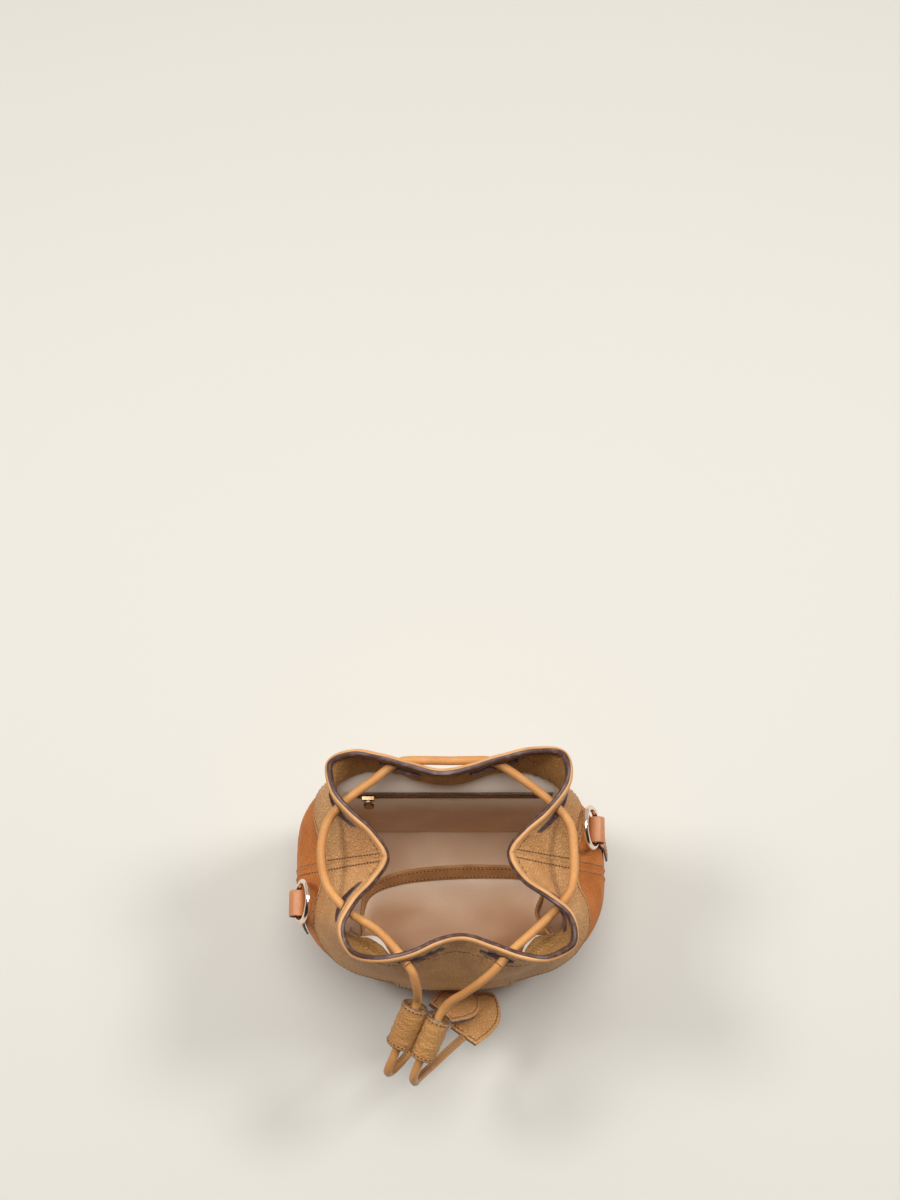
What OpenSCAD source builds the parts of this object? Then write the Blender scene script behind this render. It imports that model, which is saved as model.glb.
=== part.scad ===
// Cinched bucket bag with a rolled leather drawstring.
// Millimetres, +Z up. The bag stands on its base, its front faces -Y and its base centre is the origin.
// Every panel is a strip of the same wall: a rounded base outline that swells,
// then folds into a four-lobed mouth.

/* [Body] */
// Half of the width where the body is widest
body_half_w = 121; // [90:0.5:150]
// Depth of the front half, from the side seams forward
front_depth = 88; // [60:0.5:110]
// Depth of the back half, from the side seams backward
back_depth = 77; // [50:0.5:100]
// Distance of the side seams behind the origin
seam_y = 6; // [0:0.5:12]
// Height of the mouth
rim_z = 222; // [180:1:280]
// Height at which the wall starts to fold toward the mouth
fold_z = 130; // [100:1:170]
// How far the four pinches dip below the lobes
rim_dip = 4; // [0:0.5:10]

/* [Leather and lining] */
// Thickness of the suede panels
suede_t = 1.8; // [1:0.1:3]
// Thickness of the grained yoke
yoke_t = 2; // [1:0.1:3]
// Thickness of the grained facing inside the mouth
facing_t = 1.5; // [0.8:0.1:3]
// Thickness of the cotton lining
lining_t = 0.8; // [0.5:0.1:1.5]
// Thickness of the base panel
base_t = 3; // [2:0.5:5]
// Height of the yoke's lower edge
yoke_z = 158; // [130:1:190]
// Height of the lower edge of the yoke's front tongue
tongue_z = 104; // [80:1:150]
// Height of the suede's upper edge, under the yoke
suede_top = 168; // [140:1:200]
// Height of the facing's pinked lower edge
facing_z = 177; // [160:1:200]

/* [Drawstring] */
// Diameter of the rolled cord
cord_d = 6.5; // [4:0.1:9]
// Height of the cord slits
slit_z = 207; // [190:1:215]
// Opening of a cord slit
slit_h = 8; // [6:0.5:12]
// Outer radius of one tube of the slider
tube_r = 9.5; // [7:0.1:12]
// Bore radius of one tube of the slider
tube_bore_r = 7.6; // [4:0.1:9]
// Length of the slider
tube_len = 35; // [20:1:50]
// Length of an end tab
end_tab_len = 44; // [25:1:60]
// Thickness of one ply of an end tab
ply_t = 1.9; // [1:0.1:3]

/* [Rings] */
// Radius of the ring's centre line
ring_r = 15; // [9:0.5:20]
// Radius of the ring's section
ring_bar_r = 2.2; // [1.5:0.1:3.5]
// Lean of the ring toward the bag
ring_lean = 22; // [0:1:40]
// Width of the leather loop
loop_w = 20; // [12:1:30]
// Distance of the left ring loop from the middle plane
left_loop_x = 117; // [100:0.5:140]
// Distance of the right ring loop from the middle plane
right_loop_x = 111.5; // [100:0.5:140]
// Height of the left ring loop
left_loop_z = 140; // [100:1:160]
// Height of the right ring loop
right_loop_z = 150; // [100:1:160]
// Left loop's place along Y
left_loop_y = -21; // [-60:1:60]
// Right loop's place along Y
right_loop_y = 34; // [-60:1:60]

/* [Inner pockets] */
// Length of the zip
zip_len = 138; // [80:1:160]
// Height of the zip
zip_z = 151; // [110:1:170]
// Height of the slip pocket's mouth
pocket_z = 122; // [90:1:150]
// Share of the slip pocket's height that the leather band takes
band_share = 0.11; // [0.05:0.01:0.25]

/* [Hidden] */

suede = [0.70, 0.42, 0.22];
grain = [0.78, 0.58, 0.36];
cotton = [0.88, 0.80, 0.72];
trim = [0.62, 0.42, 0.22];
smooth_tan = [0.80, 0.53, 0.34];
metal = [0.93, 0.84, 0.76];

step = 3.75;                       // angle between two columns of a wall
lining_top = 179;
lining_turn = 172;                 // below this height the lining leaves the wall
skin_gap = 0.35;                   // air between a skin and the panel under it
facing_gap = 3.3;                  // how far inside the wall the facing's lower edge hangs
back_waist = 4;                    // how far the cord pulls the back in below the mouth
waist_z = 170;
front_flare = 3;                    // how soon the corners flare out below the mouth
back_flare = 2;
back_plane = 62;                   // the flat inner face of the back lining

// Closed outline of the mouth, from the right pinch counter-clockwise, about evenly spaced
rim = [
    [42, 4], [54, 21], [70, 36], [85, 56], [83, 77], [61, 80], [37, 75], [14, 68],
    [-9, 65], [-30, 70], [-51, 75], [-71, 78], [-89, 70], [-86, 50], [-72, 34], [-56, 19],
    [-45, 1], [-55, -17], [-69, -33], [-78, -52], [-70, -70], [-50, -74], [-30, -70], [-10, -61],
    [10, -57], [31, -63], [52, -71], [72, -73], [89, -63], [86, -42], [69, -28], [52, -15]
];

// Share of the widest size at each height: [height, width, back depth, front depth]
profile = [
    [0, 0.84, 0.85, 0.74], [8, 0.87, 0.88, 0.77], [30, 0.925, 0.93, 0.84], [60, 0.975, 0.975, 0.91],
    [92, 1, 1, 0.98], [112, 0.993, 1, 1], [130, 0.963, 0.995, 0.995], [150, 0.915, 0.985, 0.985],
    [rim_z, 0.80, 0.95, 0.95]
];

// First and last angle of each cord slit
back_slits = [[11.25, 30], [60, 78.75], [97.5, 116.25], [146.25, 165]];
front_slits = [[191.25, 210], [243.75, 262.5], [277.5, 292.5], [322.5, 341.25]];

// The yoke's lower edge at each angle of the front: it drops toward the corners, then to the tongue
yoke_edge = [
    [180, yoke_z], [192, 157], [202, 146], [211, 127], [218, 114], [226, 113], [233, 119], [240, 124],
    [243.75, tongue_z], [300, tongue_z], [303.75, 124], [310, 119], [317, 113], [326, 114], [333, 127],
    [341, 146], [350, 157], [360, yoke_z]
];

// Drawstring: the stretch held by the slits, then the two free ends
loop_route = [
    [-31, -76, 206], [-40, -64, 206], [-54, -50, 206], [-70, -40, 206], [-81, -30, 206], [-90, -17, 205],
    [-94, -1, 204], [-94, 14, 204], [-90, 29, 205], [-80, 42, 206], [-68, 52, 206], [-57, 60, 206],
    [-46, 69, 206], [-35, 75, 205], [-18, 76, 203], [0, 76, 202], [17, 76, 203], [29, 75, 205],
    [41, 69, 206], [54, 60, 206], [68, 49, 206], [79, 39, 206], [88, 26, 205], [90, 9, 204],
    [90, -8, 204], [87, -22, 205], [78, -34, 206], [66, -46, 206], [54, -57, 206], [45, -65, 206],
    [35, -76, 206]
];
left_route = [
    [-31, -76, 206], [-27, -82, 204], [-25, -89, 197], [-24, -95, 187], [-24.9, -100.8, 176.6],
    [-31.6, -115.3, 168.2], [-38.3, -129.7, 159.9], [-43.1, -140.2, 153.9], [-46.5, -147, 146],
    [-46.5, -149, 136], [-43, -146, 127], [-36, -138, 120], [-27, -126, 115], [-19, -116, 111],
    [-13, -108, 106], [-8, -101, 100]
];
right_route = [
    [35, -76, 206], [29, -82, 204], [20, -89, 199], [10, -95, 190], [-0.5, -100.5, 180.5],
    [-7.6, -108.6, 172.6], [-14.3, -123.1, 164.2], [-21, -137.5, 155.9], [-24, -144, 152.2],
    [-27, -151, 145], [-28, -154, 135], [-27, -155, 121], [-26, -153, 107], [-21, -147, 93],
    [-13, -139, 81], [-2, -128, 73], [10, -117, 69]
];

// Directions in which the two free ends leave their slits
left_exit_dir = [0.5, -0.85, -0.12];
right_exit_dir = [-0.6, -0.78, -0.12];

// Direction of the slider's bores, and the two bores' upper mouths
slider_dir = [-0.3724, -0.8050, -0.4628];
left_mouth = [-25.5, -102, 176];
right_mouth = [-8.3, -110.3, 171.6];

// End tabs: middle of the cord edge, direction of the length, direction of the width
left_tab_at = [-8, -101, 100];
left_tab_dir = [0.62, 0.42, -0.66];
left_tab_side = [0.74, -0.62, 0.25];
right_tab_at = [10, -117, 69];
right_tab_dir = [0.55, 0.80, -0.22];
right_tab_side = [0.82, -0.57, -0.05];

function power(v, p) = sign(v) * pow(abs(v), p);
function unit(v) = v / norm(v);
function mix(a, b, t) = a + (b - a) * t;

// A smooth curve through points p, at position t counted in points
function curve(a, b, c, d, f) =
    0.5 * (2 * b + (c - a) * f + (2 * a - 5 * b + 4 * c - d) * f * f + (3 * b - a - 3 * c + d) * f * f * f);
function closed_at(p, t) =
    let (n = len(p), k = floor(t), f = t - k)
    curve(p[(k + n - 1) % n], p[k % n], p[(k + 1) % n], p[(k + 2) % n], f);
function open_at(p, t) =
    let (last = len(p) - 1, k = min(floor(t), last - 1), f = t - k)
    curve(p[max(k - 1, 0)], p[k], p[k + 1], p[min(k + 2, last)], f);

function width_share(z) = lookup(z, [for (row = profile) [row[0], row[1]]]);
function back_share(z) = lookup(z, [for (row = profile) [row[0], row[2]]]);
function front_share(z) = lookup(z, [for (row = profile) [row[0], row[3]]]);

// The uncinched body at angle u and height z: a superellipse, rounder in front,
// squarer behind and squarest behind on the left
function body_xy(u, z) =
    let (
        back = sin(u) > 0,
        a = body_half_w * width_share(z),
        b = back ? back_depth * back_share(z) : front_depth * front_share(z),
        n = !back ? 2.4 : cos(u) < 0 ? 4 : 3,
        r = pow(pow(abs(cos(u)) / a, n) + pow(abs(sin(u)) / b, n), -1 / n)
    )
    [r * cos(u), seam_y + r * sin(u)];

// Share of the mouth's outline in the wall at angle u and height z; the back folds in sooner, and the
// four corners flare out sooner below the mouth
function fold(u, z) =
    let (
        t = max(0, (z - fold_z) / (rim_z - fold_z)),
        middle = 0.65 * pow(max(0, sin(u)), 4) + 0.2 * pow(max(0, -sin(u)), 4),
        p = 1.25 - middle + (sin(u) > 0 ? back_flare : front_flare) * pow(abs(sin(2 * u)), 3)
    )
    pow(t, p);

function wall(u, z) =
    let (
        s = fold(u, z),
        xy = mix(body_xy(u, z), closed_at(rim, (u + 360) % 360 * len(rim) / 360), s),
        dip = rim_dip * pow(cos(2 * u), 2) * pow(max(0, (z - yoke_z) / (rim_z - yoke_z)), 2),
        waist = back_waist * pow(max(0, sin(u)), 4) * sin(180 * max(0, (z - waist_z) / (rim_z - waist_z)))
    )
    [xy[0], xy[1] - waist, z - dip];

// The wall's outward direction, and a point d inside the wall
function out_dir(u, z) =
    unit(cross(wall(u + 0.5, z) - wall(u - 0.5, z), wall(u, z + 0.5) - wall(u, z - 0.5)));
function inset(u, z, d) = wall(u, z) - out_dir(u, z) * d;

function columns(first, last) = [for (i = [0:round((last - first) / step)]) first + i * step];

// The lining follows the wall behind the facing, then hangs straight to the base. At the back it is flat
// up to the height where it slopes out to the facing
flat_top = 160;
function flat_back(p, z, d) =
    [p[0], min(p[1], back_plane + lining_t - d + 0.7 * max(0, z - flat_top)), p[2]];
function lining(u, z, d) =
    let (t = min(1, (z - base_t) / (lining_turn - base_t)))
    flat_back(mix(inset(u, base_t, 3 + d), inset(u, max(z, lining_turn), 2 + d), t), z, d);

// Closed solid between an outer and an inner grid of points, keeping only the cells that are wanted
module between(outer, inner, keep) {
    rows = len(outer) - 1;
    cols = len(outer[0]) - 1;
    count = len(outer) * len(outer[0]);
    points = [for (grid = [outer, inner]) for (row = grid) for (p = row) p];
    function on(j, i) = j >= 0 && j < rows && i >= 0 && i < cols && keep[j][i];
    function id(j, i) = j * (cols + 1) + i;
    function quad(a, b, c, d) = [[a, b, c], [a, c, d]];
    faces = [
        for (j = [0:rows - 1]) for (i = [0:cols - 1]) if (on(j, i))
            let (a = id(j, i), b = id(j, i + 1), c = id(j + 1, i + 1), d = id(j + 1, i))
            each concat(
                quad(a, d, c, b),
                quad(a + count, b + count, c + count, d + count),
                on(j, i - 1) ? [] : quad(d, a, a + count, d + count),
                on(j, i + 1) ? [] : quad(b, c, c + count, b + count),
                on(j - 1, i) ? [] : quad(a, b, b + count, a + count),
                on(j + 1, i) ? [] : quad(c, d, d + count, c + count)
            )
    ];
    polyhedron(points, faces);
}

function in_slit(u, slits) = len([for (s = slits) if (u > s[0] && u < s[1]) 1]) > 0;
function slit_row(z) = abs(z - slit_z) < slit_h / 2;

function all_cells(rows, cols) = [for (j = [1:rows]) [for (i = [1:cols]) true]];

front_us = columns(180, 360);
back_us = columns(0, 180);

module base_panel()
    color(suede)
    linear_extrude(base_t)
    polygon([for (u = columns(0, 360 - step)) let (p = wall(u, base_t)) [p[0], p[1]]]);

body_rows = [base_t, 8, 18, 30, 46, 60, 76, 92, 100, 108, 116, 124, 132, 140, 148, yoke_z, suede_top];
module suede_panel(us)
    color(suede)
    between(
        [for (z = body_rows) [for (u = us) inset(u, z, 0)]],
        [for (z = body_rows) [for (u = us) inset(u, z, suede_t)]],
        all_cells(len(body_rows) - 1, len(us) - 1)
    );
module front_body() suede_panel(front_us);
module back_body() suede_panel(back_us);

// The yoke runs from its lower edge to the mouth; the first low_rows rows share out the part over the suede
yoke_upper = [178, 190, slit_z - slit_h / 2, slit_z + slit_h / 2, 217, rim_z];
function yoke_low(u) = u > 180 ? lookup(u, yoke_edge) : yoke_z;
module yoke(us, slits, low_rows) {
    rows = low_rows + len(yoke_upper);
    function height(u, j) =
        j <= low_rows ? mix(yoke_low(u), suede_top, j / low_rows) : yoke_upper[j - low_rows - 1];
    between(
        [for (j = [0:rows]) [for (u = us) inset(u, height(u, j), -yoke_t)]],
        [for (j = [0:rows]) [for (u = us) inset(u, height(u, j), -skin_gap)]],
        [for (j = [0:rows - 1]) [
            for (i = [0:len(us) - 2])
                let (u = (us[i] + us[i + 1]) / 2)
                !(slit_row((height(u, j) + height(u, j + 1)) / 2) && in_slit(u, slits))
        ]]
    );
}
module front_yoke() color(grain) yoke(front_us, front_slits, 8);
module back_yoke() color(grain) yoke(back_us, back_slits, 2);

// The facing meets the yoke at the slits and hangs a little clear of it at its pinked lower edge
facing_rows = [facing_z, 186, 194, slit_z - slit_h / 2, slit_z + slit_h / 2, 217, rim_z];
function facing_d(z) = facing_gap * max(0, min(1, (slit_z - slit_h / 2 - z) / 20));
function pinked(z, i) = z == facing_z && i % 2 == 1 ? z + 3 : z;
module facing(us, slits)
    between(
        [for (z = facing_rows) [for (i = [0:len(us) - 1]) inset(us[i], pinked(z, i), facing_d(z))]],
        [for (z = facing_rows) [for (i = [0:len(us) - 1]) inset(us[i], pinked(z, i), facing_d(z) + facing_t)]],
        [for (j = [0:len(facing_rows) - 2]) [
            for (i = [0:len(us) - 2])
                !(slit_row((facing_rows[j] + facing_rows[j + 1]) / 2)
                    && in_slit((us[i] + us[i + 1]) / 2, slits))
        ]]
    );
module front_facing() color(grain) facing(front_us, front_slits);
module back_facing() color(grain) facing(back_us, back_slits);

lining_rows = [base_t + 1.6, 20, 50, 80, 110, 140, 160, lining_turn, 177, lining_top];
module lining_wall(us)
    between(
        [for (z = lining_rows) [for (u = us) lining(u, z, 0)]],
        [for (z = lining_rows) [for (u = us) lining(u, z, lining_t)]],
        all_cells(len(lining_rows) - 1, len(us) - 1)
    );
module front_lining() color(cotton) lining_wall(front_us);
module back_lining() color(cotton) lining_wall(back_us);

module lining_base()
    color(cotton)
    translate([0, 0, base_t + 0.3])
    linear_extrude(1.2)
    polygon([for (u = columns(0, 360 - step)) let (p = lining(u, base_t + 1, 0)) [p[0], p[1]]]);

// Slip pocket on the front lining: its mouth sags open toward the middle of the bag
pocket_top = [
    [-77, -47], [-67, -43], [-68, -24], [-63, -5], [-42, 6], [-8, 11],
    [30, 12], [58, 9], [71, -6], [66, -26], [78, -45]
];
pocket_foot = [
    [-84, -20], [-80, -30], [-70, -38], [-52, -45], [-27, -50], [0, -52],
    [27, -50], [52, -45], [70, -38], [80, -30], [84, -20]
];
pocket_cols = 32;
function pocket_at(i, v) =
    let (
        t = i * (len(pocket_top) - 1) / pocket_cols,
        xy = mix(open_at(pocket_foot, t), open_at(pocket_top, t), pow(v, 1.2))
    )
    [xy[0], xy[1], mix(base_t + 6, pocket_z, v)];
function pocket_in(i, v, d) =
    let (
        i0 = max(0, i - 1), i1 = min(pocket_cols, i + 1),
        n = unit(cross(pocket_at(i1, v) - pocket_at(i0, v), pocket_at(i, v + 0.01) - pocket_at(i, v - 0.01)))
    )
    pocket_at(i, v) - n * d;
module pocket_strip(vs, outer_d, inner_d)
    between(
        [for (v = vs) [for (i = [0:pocket_cols]) pocket_in(i, v, outer_d)]],
        [for (v = vs) [for (i = [0:pocket_cols]) pocket_in(i, v, inner_d)]],
        all_cells(len(vs) - 1, pocket_cols)
    );
module slip_pocket() color(cotton) pocket_strip([0.02, 0.15, 0.35, 0.55, 0.75, 1 - band_share], 0, 0.9);
module pocket_band() color(trim) pocket_strip([1 - band_share, 1 - band_share / 2, 1], -0.7, 1.6);

// Zip on the back lining
zip_frame_size = [156, 1.2, 15];
zip_window = [zip_len + 4, 4, 5.4];
teeth_size = [zip_len, 1, 1.8];
frame_face = back_plane - 0.1;
module block(size, at) translate(at) cube(size, center = true);
module zip_frame()
    color(trim)
    difference() {
        block(zip_frame_size, [0, frame_face - zip_frame_size[1] / 2, zip_z]);
        block(zip_window, [0, frame_face - zip_frame_size[1] / 2, zip_z]);
    }
module zip_tape()
    color(cotton) block([zip_len + 3.6, 0.6, 5], [0, frame_face - 0.3, zip_z]);
module zip_teeth()
    color(metal) block(teeth_size, [0, frame_face - 0.6 - teeth_size[1] / 2, zip_z]);

// The slider starts at the left end of the zip; a leather puller hangs from its bridge by a small ring
slider_size = [9, 2.6, 6.4];
slider_x = -zip_len / 2 + 6;
slider_y = frame_face - 4.7;
bridge_r = 2.4;
bridge_w = 2.4;
bridge_bore_r = 1.1;
bridge_bore_y = slider_y - 1.3;
module across(y, z, r, h)
    translate([slider_x, y, z]) rotate([0, 90, 0]) cylinder(r = r, h = h, center = true, $fn = 32);
module zip_slider()
    color(metal)
    difference() {
        union() {
            block(slider_size, [slider_x, slider_y + slider_size[1] / 2, zip_z]);
            across(slider_y - 1, zip_z, bridge_r, bridge_w);
        }
        across(bridge_bore_y, zip_z, bridge_bore_r, bridge_w + 1);
    }
eye_r = 3;
eye_bar_r = 0.5;
module zip_ring()
    color(metal)
    translate([slider_x, bridge_bore_y, zip_z - eye_r])
    rotate([90, 0, 0])
    rotate_extrude($fn = 48) translate([eye_r, 0]) circle(r = eye_bar_r, $fn = 24);
puller_size = [8, 2.2, 13];
puller_eye = [3, 1.9, 1.1];
puller_eye_z = zip_z - 2 * eye_r;
module zip_puller()
    color(smooth_tan)
    difference() {
        union() {
            block(puller_size, [slider_x, bridge_bore_y, puller_eye_z - 1.5 - puller_size[2] / 2]);
            across(bridge_bore_y, puller_eye_z, puller_eye[1], puller_eye[0]);
        }
        across(bridge_bore_y, puller_eye_z, puller_eye[2], puller_size[0] + 1);
    }

module inner_label() color([0.93, 0.86, 0.78]) block([36, 0.6, 13], [3, back_plane - 0.4, 129]);

// Side tabs: a chape sewn to the body, flared at its foot, that rises into the loop round the ring.
// A place is the loop's [distance from the middle plane, Y, height]
left_loop = [left_loop_x, left_loop_y, left_loop_z];
right_loop = [right_loop_x, right_loop_y, right_loop_z];
chape_rows = [-40, -34, -28, -22, -16, -11];
chape_t = 3;
chape_foot_half = 17;
loop_r = 6.3;
loop_bore_r = 4.8;
ring_drop = 2.3;
function chape_half(row) =
    mix(chape_foot_half, loop_w / 2, (row - chape_rows[0]) / (chape_rows[5] - chape_rows[0]));
function chape_u(y, side) =
    let (a = asin((y - seam_y) / (body_half_w - 2))) side > 0 ? a : 180 - a;
function chape_grid(place, side, d, lift) =
    let (across = [for (i = [0:8]) (i / 4 - 1) * side])
    concat(
        [for (row = chape_rows) [
            for (c = across) inset(chape_u(place[1] + c * chape_half(row), side), place[2] + row, d)
        ]],
        [[for (c = across) [side * (place[0] + lift), place[1] + c * loop_w / 2, place[2] - loop_r + 1]]]
    );
module loop_axis(place, side) translate([side * place[0], place[1], place[2]]) rotate([90, 0, 0]) children();
module tab(place, side)
    color(smooth_tan) {
        between(
            chape_grid(place, side, -chape_t, chape_t / 2),
            chape_grid(place, side, -skin_gap, -chape_t / 2),
            all_cells(len(chape_rows), 8)
        );
        loop_axis(place, side)
            difference() {
                cylinder(r = loop_r, h = loop_w, center = true, $fn = 64);
                cylinder(r = loop_bore_r, h = loop_w + 2, center = true, $fn = 64);
            }
    }
module left_tab() tab(left_loop, -1);
module right_tab() tab(right_loop, 1);

module ring(place, side)
    color(metal)
    translate([side * place[0], place[1], place[2]])
    rotate([0, -side * ring_lean, 0])
    translate([0, 0, ring_r - ring_drop])
    rotate([0, 90, 0])
    rotate_extrude($fn = 96) translate([ring_r, 0]) circle(r = ring_bar_r, $fn = 48);
module left_ring() ring(left_loop, -1);
module right_ring() ring(right_loop, 1);

// A round tube swept along a route, one ring to a point, with the given directions at its two ends
cord_sides = 10;
module sweep(route, first_dir, last_dir) {
    n = len(route) - 1;
    dirs = [
        for (i = [0:n]) i == 0 ? unit(first_dir) : i == n ? unit(last_dir) : unit(route[i + 1] - route[i - 1])
    ];
    points = [
        for (i = [0:n])
            let (side = unit(cross(dirs[i], [0, 0, 1])), up = cross(side, dirs[i]))
            for (k = [0:cord_sides - 1])
                let (a = k * 360 / cord_sides)
                route[i] + (side * cos(a) + up * sin(a)) * cord_d / 2
    ];
    walls = [
        for (i = [0:n - 1]) for (k = [0:cord_sides - 1])
            let (a = i * cord_sides + k, b = i * cord_sides + (k + 1) % cord_sides)
            each [[a, b, b + cord_sides], [a, b + cord_sides, a + cord_sides]]
    ];
    ends = [[for (k = [cord_sides - 1:-1:0]) k], [for (k = [0:cord_sides - 1]) n * cord_sides + k]];
    polyhedron(points, concat(walls, ends));
}
module drawstring_loop() color(grain) sweep(loop_route, -left_exit_dir, right_exit_dir);
module drawstring_left() color(grain) sweep(left_route, left_exit_dir, left_tab_dir);
module drawstring_right() color(grain) sweep(right_route, right_exit_dir, right_tab_dir);

// Frame with its X along side, its Z along dir
function frame(at, dir, side) =
    let (z = unit(dir), y = unit(cross(z, side)), x = cross(y, z))
    [
        [x[0], y[0], z[0], at[0]],
        [x[1], y[1], z[1], at[1]],
        [x[2], y[2], z[2], at[2]],
        [0, 0, 0, 1]
    ];
module tube(mouth)
    color(grain)
    multmatrix(frame(mouth, slider_dir, [1, 0, 0]))
    difference() {
        cylinder(r = tube_r, h = tube_len, $fn = 64);
        translate([0, 0, -1]) cylinder(r = tube_bore_r, h = tube_len + 2, $fn = 64);
    }
module slider_left() tube(left_mouth);
module slider_right() tube(right_mouth);

// Shield-shaped end tab: two plies sewn over the cord's end
shield = [
    [-12, 0], [-16.5, 14], [-17.5, 24], [-15, 32], [-8, 40], [0, end_tab_len],
    [8, 40], [15, 32], [17.5, 24], [16.5, 14], [12, 0]
];
module end_ply(at, dir, side, y)
    color(grain)
    multmatrix(frame(at, dir, side))
    translate([0, y, 0])
    rotate([90, 0, 0])
    linear_extrude(ply_t)
    polygon(shield);
module left_end_tab_top() end_ply(left_tab_at, left_tab_dir, left_tab_side, 0);
module left_end_tab_under() end_ply(left_tab_at, left_tab_dir, left_tab_side, ply_t);
module right_end_tab_top() end_ply(right_tab_at, right_tab_dir, right_tab_side, 0);
module right_end_tab_under() end_ply(right_tab_at, right_tab_dir, right_tab_side, ply_t);

base_panel();
front_body();
back_body();
front_yoke();
back_yoke();
front_facing();
back_facing();
front_lining();
back_lining();
lining_base();
slip_pocket();
pocket_band();
zip_frame();
zip_tape();
zip_teeth();
zip_slider();
zip_ring();
zip_puller();
inner_label();
left_tab();
right_tab();
left_ring();
right_ring();
drawstring_loop();
drawstring_left();
drawstring_right();
slider_left();
slider_right();
left_end_tab_top();
left_end_tab_under();
right_end_tab_top();
right_end_tab_under();
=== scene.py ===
"""Cinched bucket bag: camera and cords, then panels, linings, pockets, hardware, stitching and light."""
import bpy
import math
from mathutils import Matrix, Vector, noise


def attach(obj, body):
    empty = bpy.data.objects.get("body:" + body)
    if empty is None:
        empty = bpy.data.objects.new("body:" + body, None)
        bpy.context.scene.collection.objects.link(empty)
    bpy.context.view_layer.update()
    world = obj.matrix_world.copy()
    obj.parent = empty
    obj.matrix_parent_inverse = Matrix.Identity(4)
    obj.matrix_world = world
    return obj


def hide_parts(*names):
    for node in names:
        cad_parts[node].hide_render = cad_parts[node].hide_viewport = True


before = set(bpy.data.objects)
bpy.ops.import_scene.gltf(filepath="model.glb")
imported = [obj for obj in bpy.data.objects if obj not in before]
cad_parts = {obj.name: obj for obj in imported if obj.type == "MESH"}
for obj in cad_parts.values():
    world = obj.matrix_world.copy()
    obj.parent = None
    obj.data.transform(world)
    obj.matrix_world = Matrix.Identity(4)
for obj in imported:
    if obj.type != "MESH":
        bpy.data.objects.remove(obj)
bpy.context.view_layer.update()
MM = 0.001
BODY = "bag"

# ------------------------------------------------ shape, in millimetres, as the CAD model has it
HALF_W, FRONT, BACK, SEAM_Y = 121.0, 88.0, 77.0, 6.0
RIM_Z, FOLD_Z, RIM_DIP = 222.0, 130.0, 4.0
YOKE_Z, TONGUE_Z, SUEDE_TOP, FACING_Z = 158.0, 104.0, 168.0, 177.0
SUEDE_T, YOKE_T, FACING_T, LINING_T, BASE_T = 1.8, 2.0, 1.5, 0.8, 3.0
FACING_GAP, BACK_PLANE, BACK_WAIST, WAIST_Z, SKIN_GAP = 3.3, 62.0, 4.0, 170.0, 0.35
FRONT_FLARE, BACK_FLARE = 3.0, 2.0
LINING_TURN, LINING_TOP, FLAT_TOP = 172.0, 179.0, 160.0
SLIT_Z, SLIT_H = 207.0, 8.0
CORD_D, PLY_T = 6.5, 1.9
FOLD_POWER, BACK_EASE, FRONT_EASE = 1.25, 0.65, 0.2
# The mouth's outline (x, y), counter-clockwise from the right pinch; each point stands for the same turn of u
RIM = [
    (42, 4), (54, 21), (70, 36), (85, 56), (83, 77), (61, 80), (37, 75), (14, 68),
    (-9, 65), (-30, 70), (-51, 75), (-71, 78), (-89, 70), (-86, 50), (-72, 34), (-56, 19),
    (-45, 1), (-55, -17), (-69, -33), (-78, -52), (-70, -70), (-50, -74), (-30, -70), (-10, -61),
    (10, -57), (31, -63), (52, -71), (72, -73), (89, -63), (86, -42), (69, -28), (52, -15),
]
# Height, then the width, back depth and front depth there as shares of the widest
PROFILE = [
    (0, 0.84, 0.85, 0.74), (8, 0.87, 0.88, 0.77), (30, 0.925, 0.93, 0.84), (60, 0.975, 0.975, 0.91),
    (92, 1, 1, 0.98), (112, 0.993, 1, 1), (130, 0.963, 0.995, 0.995), (150, 0.915, 0.985, 0.985),
    (222, 0.80, 0.95, 0.95),
]
# First and last angle of each slit, in degrees round the mouth
BACK_SLITS = [(11.25, 30), (60, 78.75), (97.5, 116.25), (146.25, 165)]
FRONT_SLITS = [(191.25, 210), (243.75, 262.5), (277.5, 292.5), (322.5, 341.25)]
TONGUE, TONGUE_TOP = (243.75, 300), 124.0
# Angle and height of the front yoke's lower edge
YOKE_EDGE = [
    (180, 158), (192, 157), (202, 146), (211, 127), (218, 114), (226, 113), (233, 119), (240, 124),
    (303.75, 124), (310, 119), (317, 113), (326, 114), (333, 127), (341, 146), (350, 157), (360, 158),
]
# Where the cord's centre goes: threaded stretch, then each free end from its slit to its end tab
LOOP_ROUTE = [
    (-31, -76, 206), (-40, -64, 206), (-54, -50, 206), (-70, -40, 206), (-81, -30, 206), (-90, -17, 205),
    (-94, -1, 204), (-94, 14, 204), (-90, 29, 205), (-80, 42, 206), (-68, 52, 206), (-57, 60, 206),
    (-46, 69, 206), (-35, 75, 205), (-18, 76, 203), (0, 76, 202), (17, 76, 203), (29, 75, 205),
    (41, 69, 206), (54, 60, 206), (68, 49, 206), (79, 39, 206), (88, 26, 205), (90, 9, 204),
    (90, -8, 204), (87, -22, 205), (78, -34, 206), (66, -46, 206), (54, -57, 206), (45, -65, 206),
    (35, -76, 206),
]
LEFT_ROUTE = [
    (-31, -76, 206), (-27, -82, 204), (-25, -89, 197), (-24, -95, 187), (-24.9, -100.8, 176.6),
    (-31.6, -115.3, 168.2), (-38.3, -129.7, 159.9), (-43.1, -140.2, 153.9), (-46.5, -147, 146),
    (-46.5, -149, 136), (-43, -146, 127), (-36, -138, 120), (-27, -126, 115), (-19, -116, 111),
    (-13, -108, 106), (-8, -101, 100),
]
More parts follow.
